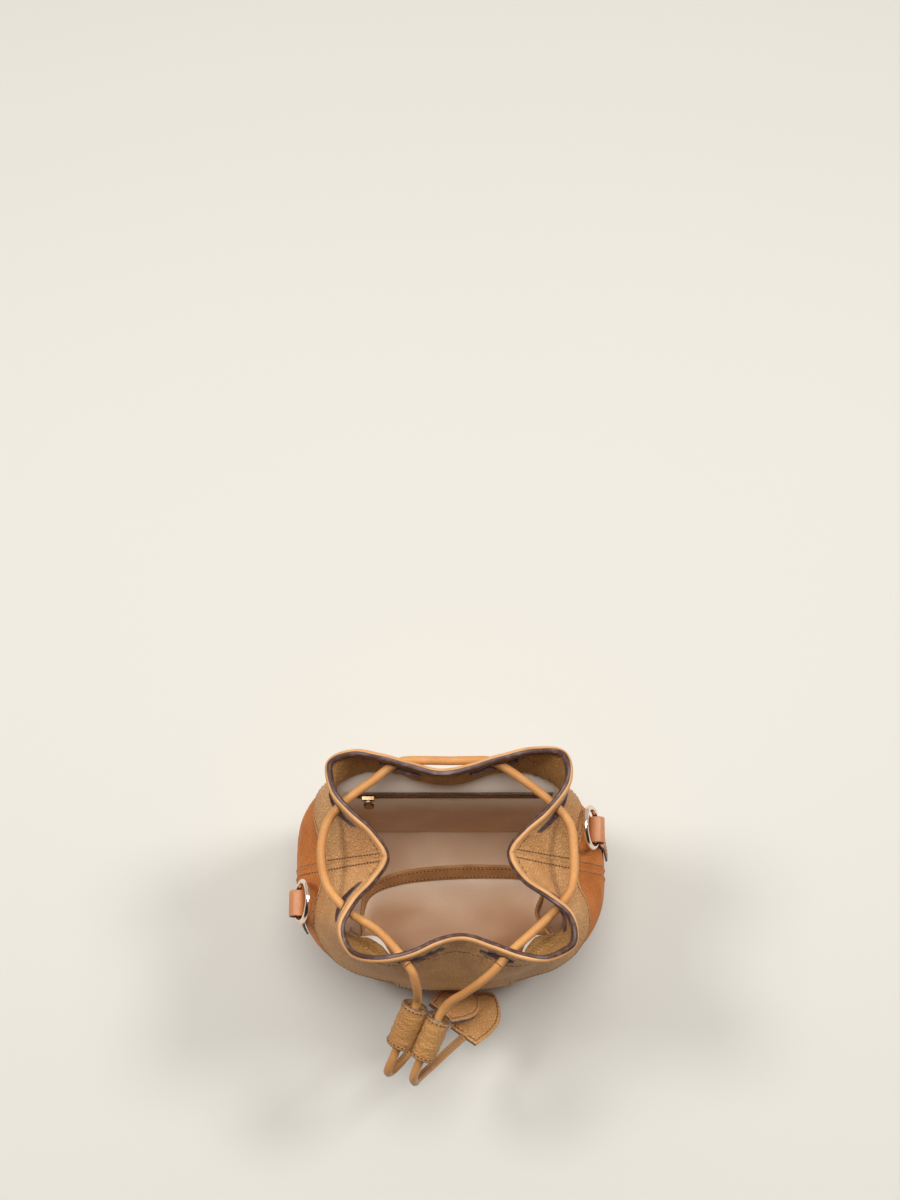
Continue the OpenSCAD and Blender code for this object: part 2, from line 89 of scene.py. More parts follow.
RIGHT_ROUTE = [
    (35, -76, 206), (29, -82, 204), (20, -89, 199), (10, -95, 190), (-0.5, -100.5, 180.5),
    (-7.6, -108.6, 172.6), (-14.3, -123.1, 164.2), (-21, -137.5, 155.9), (-24, -144, 152.2),
    (-27, -151, 145), (-28, -154, 135), (-27, -155, 121), (-26, -153, 107), (-21, -147, 93),
    (-13, -139, 81), (-2, -128, 73), (10, -117, 69),
]
SLIDER_DIR = Vector((-0.3724, -0.8050, -0.4628)).normalized()
LEFT_MOUTH, RIGHT_MOUTH = Vector((-25.5, -102, 176)), Vector((-8.3, -110.3, 171.6))
TUBE_R, TUBE_BORE, TUBE_LEN = 9.5, 7.6, 35.0
# Start, direction and width direction of each end tab
LEFT_TAB = (Vector((-8, -101, 100)), Vector((0.62, 0.42, -0.66)), Vector((0.74, -0.62, 0.25)))
RIGHT_TAB = (Vector((10, -117, 69)), Vector((0.55, 0.80, -0.22)), Vector((0.82, -0.57, -0.05)))
# How far out, how far back and how high each side ring's pivot is, and its side
LOOPS = {"left": (117.0, -21.0, 140.0, -1), "right": (111.5, 34.0, 150.0, 1)}
LOOP_W, LOOP_R, LOOP_BORE = 20.0, 6.3, 4.8
RING_R, RING_BAR, RING_LEAN, RING_DROP = 15.0, 2.2, 22.0, 2.3
ZIP_Z, ZIP_LEN, LABEL_Z = 151.0, 138.0, 129.0


def spline(p, q, r, s, f):
    bend, twist = 2 * p - 5 * q + 4 * r - s, 3 * q - p - 3 * r + s
    return 0.5 * (2 * q + (r - p) * f + bend * f * f + twist * f ** 3)


def catmull(a, b, c, d, f):
    """Share f of the way from b to c, with a and d as the neighbours."""
    return [spline(*four, f) for four in zip(a, b, c, d)]


def closed_at(pts, t):
    n, k = len(pts), math.floor(t)
    return catmull(pts[(k - 1) % n], pts[k % n], pts[(k + 1) % n], pts[(k + 2) % n], t - k)


def open_at(pts, t):
    last = len(pts) - 1
    k = min(math.floor(t), last - 1)
    return catmull(pts[max(k - 1, 0)], pts[k], pts[k + 1], pts[min(k + 2, last)], t - k)


def lookup(z, table, col=1):
    for low, high in zip(table, table[1:]):
        if z <= high[0]:
            f = max(0.0, (z - low[0]) / (high[0] - low[0]))
            return low[col] + (high[col] - low[col]) * f
    return table[-1][col]


def clamp(v, low=0.0, high=1.0):
    return max(low, min(high, v))


def smooth(v):
    v = clamp(v)
    return v * v * (3 - 2 * v)


def body_xy(u, z):
    """The body's rounded plan at height z, squarer at the back left corner."""
    c, s = math.cos(math.radians(u)), math.sin(math.radians(u))
    a = HALF_W * lookup(z, PROFILE, 1)
    b = BACK * lookup(z, PROFILE, 2) if s > 0 else FRONT * lookup(z, PROFILE, 3)
    n = 2.4 if s <= 0 else 4.0 if c < 0 else 3.0
    r = ((abs(c) / a) ** n + (abs(s) / b) ** n) ** (-1 / n)
    return r * c, SEAM_Y + r * s


def wall(u, z):
    """Point of the bag's outer skin at angle u and height z: the body below, drawn in to the mouth above."""
    t = max(0.0, (z - FOLD_Z) / (RIM_Z - FOLD_Z))
    s = math.sin(math.radians(u))
    flare = (BACK_FLARE if s > 0 else FRONT_FLARE) * abs(math.sin(math.radians(2 * u))) ** 3
    p = FOLD_POWER - BACK_EASE * max(0.0, s) ** 4 - FRONT_EASE * max(0.0, -s) ** 4 + flare
    share = t ** p
    bx, by = body_xy(u, z)
    rx, ry = closed_at(RIM, (u % 360) * len(RIM) / 360)
    dip = RIM_DIP * math.cos(math.radians(2 * u)) ** 2 * max(0.0, (z - YOKE_Z) / (RIM_Z - YOKE_Z)) ** 2
    waist = BACK_WAIST * max(0.0, s) ** 4 * math.sin(math.pi * clamp((z - WAIST_Z) / (RIM_Z - WAIST_Z)))
    return Vector((bx + (rx - bx) * share, by + (ry - by) * share - waist, z - dip))


def rough(u, scale, z):
    """Noise on a cylinder, so that it meets itself all the way round."""
    a = math.radians(u)
    return noise.noise(Vector((scale * math.cos(a), scale * math.sin(a), z)))


def relief(u, z):
    """Soft hand-made unevenness of the leather, outward, the same for every layer."""
    a = math.radians(u)
    p = Vector((1.6 * math.cos(a), 1.6 * math.sin(a), z / 70.0))
    broad = noise.noise(p * 1.4 + Vector((3.1, 0, 0)))
    folds = rough(u, 5.2, z / 160.0 + 7.0)
    gathers = noise.noise(Vector((34.0 * math.cos(a) + 3 * broad, 2.0, z / 90.0)))
    gathers *= math.exp(-((u % 360 - 270) / 30) ** 4) * smooth((z - 140) / 45) * smooth((219 - z) / 10)
    pulled = rough(u, 9.0, z / 42.0 + 3.0) * smooth((z - 150) / 40) * smooth((219 - z) / 10)
    body = smooth((z - 8) / 40) * (0.9 * broad + 0.75 * folds * smooth((z - 90) / 60))
    return body + 1.5 * gathers + 0.7 * pulled


def seam_rise(u, near=2.6, depth=0.55):
    """The side seams sink in a little, with the folded edges standing up beside them."""
    away = min(abs((u % 360) - 180), u % 360, 360 - u % 360) * 2.0
    return -depth * math.exp(-(away / 0.9) ** 2) + 0.35 * math.exp(-((away - near) / 1.8) ** 2)


_points = {}


def at(u, z):
    """Wall point and outward direction."""
    key = (round(u, 3), round(z, 3))
    if key not in _points:
        along = wall(u + 0.5, z) - wall(u - 0.5, z)
        up = wall(u, z + 0.5) - wall(u, z - 0.5)
        _points[key] = (wall(u, z), along.cross(up).normalized())
    return _points[key]


def inset(u, z, d):
    """Point d inside the wall's uneven skin."""
    p, n = at(u, z)
    return p - n * (d - relief(u, z))


def lining(u, z, d):
    """Point of the lining, d inside its outer face: it hangs straight below its turn, with a flat back."""
    t = min(1.0, (z - BASE_T) / (LINING_TURN - BASE_T))
    pb, nb = at(u, BASE_T)
    pt, nt = at(u, max(z, LINING_TURN))
    low = pb - nb * (3 + d)
    top = pt - nt * (2.0 + d - relief(u, max(z, LINING_TURN)))
    p = low.lerp(top, t)
    return Vector((p.x, min(p.y, BACK_PLANE + LINING_T - d + 0.7 * max(0.0, z - FLAT_TOP)), p.z))


# ---------------------------------------------------------------- mesh helpers
def make(name, verts, faces, mats, indices=None, shade=True):
    mesh = bpy.data.meshes.new(name)
    mesh.from_pydata([tuple(v * MM) for v in verts], [], faces)
    for m in mats:
        mesh.materials.append(m)
    if indices:
        mesh.polygons.foreach_set("material_index", indices)
    mesh.polygons.foreach_set("use_smooth", [shade] * len(mesh.polygons))
    mesh.update()
    obj = bpy.data.objects.new(name, mesh)
    bpy.context.scene.collection.objects.link(obj)
    return obj


def belong(obj, body, slot, node=None):
    """The body that a piece moves with and the CAD node it stands for, which is hidden; slot is not used."""
    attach(obj, body)
    if node:
        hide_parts(node)
    return obj


def grids(rows, cols, pair):
    """The outer and the inner grid of points, from pair(row, col)."""
    cells = [[pair(row, col) for col in cols] for row in rows]
    return [[c[0] for c in line] for line in cells], [[c[1] for c in line] for line in cells]


def solid(name, outer, inner, mats, keep=None, wrap=False, band=None, ends=(2, 2, 2, 2)):
    """Closed shell between two grids. Materials: 0 outer, 1 inner, 2 cut edges; band(j, i) may name another.

    keep(j, i) says which faces stay; wrap joins the last column to the first; ends gives the materials of the
    left, right, lower and upper edge."""
    rows, cols = len(outer) - 1, len(outer[0]) - (0 if wrap else 1)
    width, count = len(outer[0]), len(outer) * len(outer[0])
    verts = [p for row in outer for p in row] + [p for row in inner for p in row]
    faces, idx = [], []

    def on(j, i):
        if wrap:
            i %= cols
        return 0 <= j < rows and 0 <= i < cols and (keep is None or keep(j, i))

    def vid(j, i):
        return j * width + (i % width if wrap else i)

    def add(face, mat):
        faces.append(face)
        idx.append(mat)

    for j in range(rows):
        for i in range(cols):
            if not on(j, i):
                continue
            a, b, c, d = vid(j, i), vid(j, i + 1), vid(j + 1, i + 1), vid(j + 1, i)
            m = band(j, i) if band else None
            add((a, b, c, d), 0 if m is None else m)
            add((a + count, d + count, c + count, b + count), 1 if m is None else m)
            above = ends[3] if j + 1 == rows else 2
            for gone, (p, q), mat in (((j, i - 1), (d, a), ends[0]), ((j, i + 1), (b, c), ends[1]),
                                      ((j - 1, i), (a, b), ends[2]), ((j + 1, i), (c, d), above)):
                if not on(*gone):
                    add((q, p, p + count, q + count), mat)
    used = sorted({v for f in faces for v in f})
    remap = {v: k for k, v in enumerate(used)}
    obj = make(name, [verts[v] for v in used], [tuple(remap[v] for v in f) for f in faces], mats, idx)
    split_edges(obj)
    return obj


def split_edges(obj, angle=40):
    """Marks hard corners sharp so that cut leather edges read as edges."""
    obj.data.set_sharp_from_angle(angle=math.radians(angle))


def shell(name, spans, pair, mats, told, **how):
    """A closed shell from pair(row, col) over the rows and columns in spans; told is what belong is told."""
    outer, inner = grids(*spans, pair)
    return belong(solid(name, outer, inner, mats, **how), *told)


def frames(points, start_side):
    """Ring frames that don't twist along a polyline."""
    out, side = [], start_side
    n = len(points)
    for i, p in enumerate(points):
        d = (points[min(i + 1, n - 1)] - points[max(i - 1, 0)]).normalized()
        side = (side - d * side.dot(d)).normalized()
        out.append((p, d, side, d.cross(side)))
    return out


def tube(name, points, radius, sides, mats, start_side, seam, stripe):
    """A round cord with a shallow seam at angle 0; the ring frames are returned with it."""
    rings = frames(points, start_side)
    verts, faces, idx = [], [], []
    for (p, d, s, t) in rings:
        for k in range(sides):
            a = 2 * math.pi * k / sides
            r = radius - (seam if k == 0 else 0)
            verts.append(p + (s * math.cos(a) + t * math.sin(a)) * r)
    for j in range(len(rings) - 1):
        for k in range(sides):
            a, b = j * sides + k, j * sides + (k + 1) % sides
            faces.append((a, b, b + sides, a + sides))
            idx.append(1 if k in stripe else 0)
    top = (len(rings) - 1) * sides
    faces += [tuple(reversed(range(sides))), tuple(range(top, top + sides))]
    idx += [0, 0]
    obj = make(name, verts, faces, mats, idx)
    split_edges(obj, 60)
    return obj, rings


# Place along a stitch and its thickness there, both as shares
STITCH_RING = [(-1.0, 0.35), (-0.8, 0.8), (-0.3, 1.0), (0.3, 1.0), (0.8, 0.8), (1.0, 0.35)]


class Stitches:
    """Collects stitches as short sunk capsules, and becomes one mesh."""

    def __init__(self, name, length=2.0, pitch=3.4, radius=0.48):
        self.name, self.length, self.pitch, self.radius = name, length, pitch, radius
        self.verts, self.faces, self.idx = [], [], []

    def add(self, face, mat):
        self.faces.append(face)
        self.idx.append(mat)

    def one(self, p, d, n):
        """One slanted stitch, and a dark disc of painted shade for the needle hole between it and the next.
        """
        side = d.cross(n).normalized()
        base, sides = len(self.verts), 6
        d = (d + side * 0.12).normalized()
        turns = [(math.cos(2 * math.pi * k / sides), math.sin(2 * math.pi * k / sides)) for k in range(sides)]
        for s, r in STITCH_RING:
            centre = p + d * s * self.length / 2 - n * (0.30 * abs(s) ** 3)
            for c, h in turns:
                self.verts.append(centre + (side * c * 1.15 + n * h) * self.radius * r)
        for j in range(len(STITCH_RING) - 1):
            for k in range(sides):
                a, b = base + j * sides + k, base + j * sides + (k + 1) % sides
                self.add((a, b, b + sides, a + sides), 0)
        self.add(tuple(base + k for k in reversed(range(sides))), 0)
        top = base + (len(STITCH_RING) - 1) * sides
        self.add(tuple(top + k for k in range(sides)), 0)
        # Painted shade: a flat dark disc laid just above the surface, where the needle hole's shadow falls.
        hole = len(self.verts)
        centre = p + d * self.pitch / 2 + n * 0.04
        for c, h in turns:
            self.verts.append(centre + (side * c * 1.3 + d * h * 2.0) * self.radius)
        self.add(tuple(hole + k for k in range(sides)), 1)

    def row(self, points, normals):
        """points: polyline on the surface; normals: outward direction at each."""
        cuts = [0.0]
        for a, b in zip(points, points[1:]):
            cuts.append(cuts[-1] + (b - a).length)
        total = cuts[-1]
        count = max(1, int(total / self.pitch))
        j = 0
        for s in range(count):
            t = (s + 0.5) * total / count
            while j < len(cuts) - 2 and cuts[j + 1] < t:
                j += 1
            f = (t - cuts[j]) / max(1e-6, cuts[j + 1] - cuts[j])
            n = normals[j].lerp(normals[j + 1], f).normalized()
            self.one(points[j].lerp(points[j + 1], f), (points[j + 1] - points[j]).normalized(), n)

    def wall_row(self, us, zs, d):
        pts = [inset(u, z, d) for u, z in zip(us, zs)]
        self.row(pts, [at(u, z)[1] for u, z in zip(us, zs)])

    def done(self, body, slot):
        return belong(make(self.name, self.verts, self.faces, [THREAD, HOLE_SHADE], self.idx), body, slot)


# ---------------------------------------------------------------- materials
class Nodes:
    """A short way to write one procedural material."""

    def __init__(self, name):
        self.mat = bpy.data.materials.new(name)
        self.mat.use_nodes = True
        self.tree = self.mat.node_tree
        self.shader = self.tree.nodes["Principled BSDF"]
        self.coord = self.tree.nodes.new("ShaderNodeTexCoord").outputs["Object"]

    def put(self, node, sockets):
        """Fills inputs; a value that is another node's socket is linked."""
        for socket, value in sockets.items():
            if isinstance(value, bpy.types.NodeSocket):
                self.tree.links.new(value, node.inputs[socket])
            else:
                node.inputs[socket].default_value = value

    def add(self, kind, sockets, **settings):
        node = self.tree.nodes.new("ShaderNode" + kind)
        for key, value in settings.items():
            setattr(node, key, value)
        self.put(node, sockets)
        return node.outputs

    def noise(self, scale, detail=3.0, rough=0.5, vector=None, distortion=0.0):
        return self.add("TexNoise", {"Vector": vector or self.coord, "Scale": scale, "Detail": detail,
                                     "Roughness": rough, "Distortion": distortion})["Fac"]

    def stretched(self, scale):
        return self.add("Mapping", {"Vector": self.coord, "Scale": scale})["Vector"]

    def cells(self, scale, vector):
        """Distance to the nearest border between cells."""
        node = self.add("TexVoronoi", {"Vector": vector, "Scale": scale}, feature="DISTANCE_TO_EDGE")
        return node["Distance"]

    def waves(self, scale, direction, **more):
        return self.add("TexWave", {"Vector": self.coord, "Scale": scale, **more},
                        wave_type="BANDS", bands_direction=direction)["Fac"]

    def math(self, op, a, b=0.0):
        return self.add("Math", {0: a, 1: b}, operation=op)[0]

    def span(self, value, low, high, to_low=0.0, to_high=1.0):
        ends = {"From Min": low, "From Max": high, "To Min": to_low, "To Max": to_high}
        return self.add("MapRange", {"Value": value, **ends}, interpolation_type="SMOOTHSTEP")["Result"]

    def mix(self, factor, a, b):
        return self.add("Mix", {0: factor, 6: a, 7: b}, data_type="RGBA")[2]

    def bump(self, height, strength, distance, **under):
        inputs = {"Height": height, "Strength": strength, "Distance": distance, **under}
        return self.add("Bump", inputs)["Normal"]

    def finish(self, color, rough, normal=None, **fixed):
        self.put(self.shader, {"Base Color": color, "Roughness": rough})
        if normal:
            self.put(self.shader, {"Normal": normal})
        self.put(self.shader, {socket.replace("_", " "): value for socket, value in fixed.items()})
        return self.mat


def linear(v):
    v /= 255
    return v / 12.92 if v <= 0.04045 else ((v + 0.055) / 1.055) ** 2.4


def srgb(r, g, b):
    return (linear(r), linear(g), linear(b), 1.0)


def faded(color, share):
    return (*(c * share for c in color[:3]), 1.0)


def pebbled(name, light, dark, cell=1.7, depth=0.22, rough=0.5, stretch=(1, 1, 1), sheen=0.03):
    """Grained leather: domed pebbles with painted shade darkening the creases between them, soft mottling and
    fine wrinkles.
    """
    n = Nodes(name)
    base = n.stretched(stretch)
    wobble = n.add("TexNoise", {"Vector": base, "Scale": 450 / cell, "Detail": 2.0})["Color"]
    moved = n.add("VectorMath", {0: wobble, 1: (0.0007 * cell,) * 3, 2: base}, operation="MULTIPLY_ADD")[0]
    pebbles = n.span(n.cells(1000 / cell, moved), 0.0, 0.22)
    small = n.span(n.cells(2300 / cell, moved), 0.0, 0.25)
    fine = n.noise(4200 / cell, 2.0, vector=base)
    height = n.math("ADD", pebbles, n.math("MULTIPLY", small, 0.35))
    height = n.math("ADD", height, n.math("MULTIPLY", fine, 0.25))
    mottled = n.span(n.noise(26, 3.0, 0.6), 0.35, 0.68)
    # Painted shade: the creases between the pebbles are mixed toward a darker copy of the dark tone.
    crease_shade = n.math("MULTIPLY", n.math("SUBTRACT", 1.0, pebbles), 0.3)
    color = n.mix(crease_shade, n.mix(mottled, dark, light), faded(dark, 0.55))
    roughness = n.span(height, 0.2, 1.3, rough + 0.14, rough - 0.06)
    return n.finish(color, roughness, n.bump(height, 0.9, depth * MM),
                    Sheen_Weight=sheen, Sheen_Roughness=0.45, Specular_IOR_Level=0.34)


def suede(name, light, mid, dark):
    """Napped leather: brushed patches, short fibres and a soft velvety edge light."""
    n = Nodes(name)
    brushed = n.span(n.noise(1.0, 4.0, 0.6, vector=n.stretched((38, 38, 22)), distortion=0.6), 0.34, 0.68)
    flecks = n.span(n.noise(900, 2.0, 0.6), 0.38, 0.66)
    fibres = n.noise(1.0, 3.0, 0.7, vector=n.stretched((2600, 2600, 1500)))
    soft = n.noise(240, 3.0, 0.6)
    color = n.mix(n.math("MULTIPLY", brushed, 0.8), mid, light)
    color = n.mix(n.math("MULTIPLY", n.math("SUBTRACT", 1.0, flecks), 0.45), color, dark)
    height = n.math("ADD", n.math("MULTIPLY", fibres, 0.6), n.math("MULTIPLY", soft, 0.8))
    return n.finish(color, 0.93, n.bump(height, 0.6, 0.25 * MM), Sheen_Weight=0.45, Sheen_Roughness=0.5,
                    Sheen_Tint=srgb(214, 150, 100), Specular_IOR_Level=0.15)


def cotton(name, light, dark, pale, pitch=0.55):
    """Plain woven cotton: over-and-under threads, slubs and faint creases; painted light makes it paler near
    the mouth, and the lower cloth stays darker as painted shade.
    """
    n = Nodes(name)
    over, under = [n.waves(1000 / pitch / 6.0, axis, Distortion=0.6, Detail=1.0) for axis in "XZ"]
    weave = n.math("MULTIPLY", over, under)
    slubs = n.span(n.noise(1.0, 2.0, 0.5, vector=n.stretched((900, 900, 60))), 0.45, 0.75)
    creases = n.noise(46, 3.0, 0.55, distortion=0.8)
    tone = n.span(n.noise(17, 2.0), 0.3, 0.7)
    color = n.mix(n.math("MULTIPLY", tone, 0.6), light, dark)
    color = n.mix(n.math("MULTIPLY", slubs, 0.15), color, dark)
    # Painted light: from 8 to 14 cm up, the cloth turns to the pale colour, so it is lighter near the mouth
    # and darker deeper in.
    height = n.add("SeparateXYZ", {0: n.coord})["Z"]
    color = n.mix(n.span(height, 0.08, 0.14), color, pale)
    cloth = n.math("ADD", weave, n.math("MULTIPLY", slubs, 0.3))
    bump = n.bump(cloth, 0.4, 0.10 * MM, Normal=n.bump(creases, 0.35, 1.2 * MM))
    return n.finish(color, 0.88, bump, Sheen_Weight=0.15, Sheen_Roughness=0.5, Specular_IOR_Level=0.2)


def smooth_leather(name, light, dark, rough=0.38):
    """Vegetable-tanned strap leather: nearly smooth, with pores and polish."""
    n = Nodes(name)
    pores = n.span(n.noise(1900, 2.0, 0.7), 0.32, 0.55)
    broad = n.span(n.noise(60, 3.0, 0.6), 0.3, 0.7)
    color = n.mix(broad, light, dark)
    height = n.math("ADD", pores, n.math("MULTIPLY", n.noise(320, 2.0), 0.8))
    return n.finish(color, n.span(broad, 0.0, 1.0, rough, rough + 0.12), n.bump(height, 0.35, 0.10 * MM),
                    Coat_Weight=0.15, Coat_Roughness=0.3, Specular_IOR_Level=0.5)


def painted_edge(name, light, dark):
    """Edge paint: a glossy, slightly lumpy lacquer that is worn lighter in spots."""
    n = Nodes(name)
    worn = n.span(n.noise(210, 3.0, 0.6), 0.42, 0.72)
    lumps = n.noise(700, 2.0)
    return n.finish(n.mix(worn, dark, light), 0.36, n.bump(lumps, 0.4, 0.15 * MM), Specular_IOR_Level=0.3)


def plated(name, light, dark, rough):
    """Polished plate with faint handling marks."""
    n = Nodes(name)
    marks = n.noise(1.0, 4.0, 0.7, vector=n.stretched((1400, 260, 1400)))
    haze = n.span(n.noise(90, 2.0), 0.3, 0.75)
    shine = n.span(marks, 0.3, 0.8, rough, rough + 0.10)
    return n.finish(n.mix(haze, light, dark), shine, n.bump(marks, 0.06, 0.05 * MM), Metallic=1.0)


def thread(name, light, dark):
    """Waxed thread with its plies showing."""
    n = Nodes(name)
    ply = n.waves(420.0, "DIAGONAL")
    return n.finish(n.mix(ply, dark, light), 0.6, n.bump(ply, 0.5, 0.12 * MM), Sheen_Weight=0.3)


def floor_paint(name, color):
    """A matt, almost even ground."""
    n = Nodes(name)
    tone = n.span(n.noise(3.0, 2.0), 0.2, 0.8)
    return n.finish(n.mix(tone, color, faded(color, 0.995)), 0.9, Specular_IOR_Level=0.1)


GRAIN = pebbled("grained_tan", srgb(234, 174, 108), srgb(214, 152, 90), cell=2.7, depth=0.85)
GRAIN_INSIDE = pebbled("grained_facing", srgb(212, 158, 88), srgb(184, 130, 66), cell=2.4, depth=1.0,
                       rough=0.55)
TUBE_GRAIN = pebbled("grained_slider", srgb(208, 152, 88), srgb(186, 130, 72), cell=2.1, depth=0.45,
                     stretch=(1.0, 0.8, 1.6))
CORD_SKIN = pebbled("rolled_cord", srgb(216, 156, 92), srgb(200, 138, 78), cell=1.2, depth=0.10, rough=0.42)
CORD_SEAM = pebbled("cord_seam", srgb(160, 128, 92), srgb(128, 98, 70), cell=1.0, depth=0.12, rough=0.6)
SUEDE = suede("cognac_suede", srgb(206, 126, 66), srgb(178, 102, 50), srgb(118, 62, 26))
# The third colour is painted light, put on the cloth near the mouth.
COTTON = cotton("ecru_cotton", srgb(240, 212, 184), srgb(216, 174, 134), srgb(246, 236, 224))
TRIM = pebbled("pocket_trim", srgb(186, 134, 82), srgb(160, 110, 64), cell=1.3, depth=0.14, rough=0.5)
ZIP_TRIM = pebbled("zip_trim", srgb(140, 92, 54), srgb(112, 70, 42), cell=1.2, depth=0.14, rough=0.5)
LABEL = smooth_leather("blank_label", srgb(250, 240, 224), srgb(242, 230, 210), rough=0.6)
TAB_LEATHER = smooth_leather("strap_leather", srgb(206, 140, 88), srgb(188, 120, 72))
PAINT = painted_edge("edge_paint", srgb(112, 84, 76), srgb(76, 52, 46))
GREY_PAINT = painted_edge("slider_edge_paint", srgb(140, 118, 96), srgb(98, 80, 66))
RAW_EDGE = smooth_leather("turned_edge", srgb(206, 150, 92), srgb(190, 134, 78), rough=0.46)
RING_METAL = plated("pale_gold", (0.93, 0.76, 0.65, 1), (0.88, 0.70, 0.58, 1), 0.10)
ZIP_METAL = plated("zip_gold", (0.44, 0.28, 0.16, 1), (0.32, 0.19, 0.10, 1), 0.30)
ZIP_TAPE = cotton("zip_tape", srgb(120, 84, 56), srgb(96, 64, 42), srgb(120, 84, 56), pitch=0.8)
THREAD = thread("thread", srgb(186, 130, 76), srgb(118, 74, 40))
# Dark colour of the painted shade in the needle holes.
HOLE_SHADE = smooth_leather("needle_hole_shade", srgb(64, 38, 22), srgb(44, 25, 14), rough=0.8)
FLOOR = floor_paint("pale_floor", srgb(211, 208, 199))


# ---------------------------------------------------------------- camera, before anything else that is made
LENS, SHIFT = 51.32, (-0.0004, 0.2287)
CAMERA_AT, CAMERA_AIM = Vector((0, -0.22574, 1.43025)), Vector((0, 0, 0.150))


def looking(spot, aim):
    return (Vector(aim) - Vector(spot)).to_track_quat("-Z", "Y").to_euler()


def camera():
    cam = bpy.data.cameras.new("camera")
    cam.sensor_fit = "VERTICAL"
    cam.sensor_height = 36.0
    cam.lens = LENS
    cam.shift_x, cam.shift_y = SHIFT
    cam.clip_end = 20
    obj = bpy.data.objects.new("camera", cam)
    bpy.context.scene.collection.objects.link(obj)
    obj.location = CAMERA_AT
    obj.rotation_euler = looking(obj.location, CAMERA_AIM)
    bpy.context.scene.camera = obj


# ---------------------------------------------------------------- cords
def dense(route, per=6):
    """A smooth line through a route's points."""
    pts = [Vector(p) for p in route]
    last = len(pts) - 1
    return [Vector(open_at(pts, k / per)) for k in range(last * per)] + [pts[-1]]


CORD_SIDES, CORD_SEAM_DEPTH, SEAM_ANGLE = 20, 0.18, 0.55


def cord_stitches(name, rings):
    """A row on each side of the cord's seam."""
    rows = Stitches(name, length=1.9, pitch=2.7, radius=0.30)
    for angle in (SEAM_ANGLE, -SEAM_ANGLE):
        nrm = [s * math.cos(angle) + t * math.sin(angle) for _, _, s, t in rings]
        rows.row([ring[0] + n * (CORD_D / 2 + 0.02) for ring, n in zip(rings, nrm)], nrm)
    rows.done(BODY, "cord_leather")


def cords():
    """The two free ends and the stretch that the slits carry, each with its points."""
    made = {}
    for part, route in (("left", LEFT_ROUTE), ("right", RIGHT_ROUTE), ("loop", LOOP_ROUTE)):
        pts = dense(route)
        obj, rings = tube(f"cord_{part}", pts, CORD_D / 2, CORD_SIDES, [CORD_SKIN, CORD_SEAM],
                          Vector((0.2, 0.3, -1)), CORD_SEAM_DEPTH, (0, CORD_SIDES - 1))
        belong(obj, BODY, "cord_leather", f"drawstring_{part}")
        cord_stitches(f"cord_{part}_stitches", rings)
        made[part] = (obj, pts)
    return made


TUBE_STEPS, TUBE_SIDES, TUBE_STITCH_IN = 44, 56, 2.6


def squash(a):
    """The tubes are very slightly flattened."""
    return 1.0 + 0.03 * math.cos(2 * a)


def slider_tube(side, mouth, across, up):
    """One tube, wrinkled round its length, with a painted and rolled mouth at each end."""
    shift = 7 if side == "left" else 0

    def pair(t, a):
        end = min(t, 1 - t) * TUBE_LEN
        rolled = 0.75 * (1 - smooth(end / 1.0)) - 0.25 * (1 - smooth(end / 4))
        ca, sa = math.cos(a), math.sin(a)
        wrinkle = 0.55 * noise.noise(Vector((ca * 1.3 + shift, sa * 1.3, t * 22))) * smooth(end / 4)
        d = across * ca + up * sa
        c = mouth + SLIDER_DIR * (t * TUBE_LEN)
        bore = TUBE_BORE + 0.3 * (1 - smooth(end / 1.2))
        return c + d * ((TUBE_R - rolled + wrinkle) * squash(a)), c + d * (bore * squash(a))

    along = [j / TUBE_STEPS for j in range(TUBE_STEPS + 1)]
    around = [2 * math.pi * k / TUBE_SIDES for k in range(TUBE_SIDES)]
    return shell(f"slider_tube_{side}", (along, around), pair, [TUBE_GRAIN, GRAIN_INSIDE, GREY_PAINT],
                 ("cord_slider", "grained_leather", f"slider_{side}"), wrap=True,
                 band=lambda j, i: 2 if j in (0, TUBE_STEPS - 1) else None)


def slider_web(mid, across, up):
    """The web that joins the tubes along their whole length."""
    def pair(t, k):
        c = mid + SLIDER_DIR * (1.0 + t * (TUBE_LEN - 2.0))
        bend = 0.3 * noise.noise(Vector((0, 3, t * 9)))
        x = (k / 8 - 0.5) * 2
        hollow = 2.8 * x * x
        c += across * (x * 4.2)
        return c + up * (0.9 + bend + hollow), c - up * (0.9 + hollow)

    return shell("slider_web", ([j / 24 for j in range(25)], range(9)), pair,
                 [TUBE_GRAIN, TUBE_GRAIN, GREY_PAINT], ("cord_slider", "grained_leather"))


def slider():
    """The double slider: two leather tubes side by side, the web between them and their stitching."""
    across = RIGHT_MOUTH - LEFT_MOUTH
    across = (across - SLIDER_DIR * across.dot(SLIDER_DIR)).normalized()
    up = across.cross(SLIDER_DIR).normalized()
    if up.z < 0:
        up = -up
    made = {}
    rows = Stitches("slider_stitches", length=2.2, pitch=3.1, radius=0.42)
    for side, mouth in (("left", LEFT_MOUTH), ("right", RIGHT_MOUTH)):
        made[side] = slider_tube(side, mouth, across, up)
        turns = [2 * math.pi * k / 48 for k in range(49)]
        nrm = [across * math.cos(a) + up * math.sin(a) for a in turns]
        for s in (TUBE_STITCH_IN, TUBE_LEN - TUBE_STITCH_IN):
            c = mouth + SLIDER_DIR * s
            rows.row([c + d * (TUBE_R * squash(a) + 0.25) for a, d in zip(turns, nrm)], nrm)
    mid = (LEFT_MOUTH + RIGHT_MOUTH) / 2
    web = slider_web(mid, across, up)
    rows.row([mid + SLIDER_DIR * (2 + 31 * k / 20) + up * 1.5 for k in range(21)], [up] * 21)
    return made, web, rows.done("cord_slider", "grained_leather")


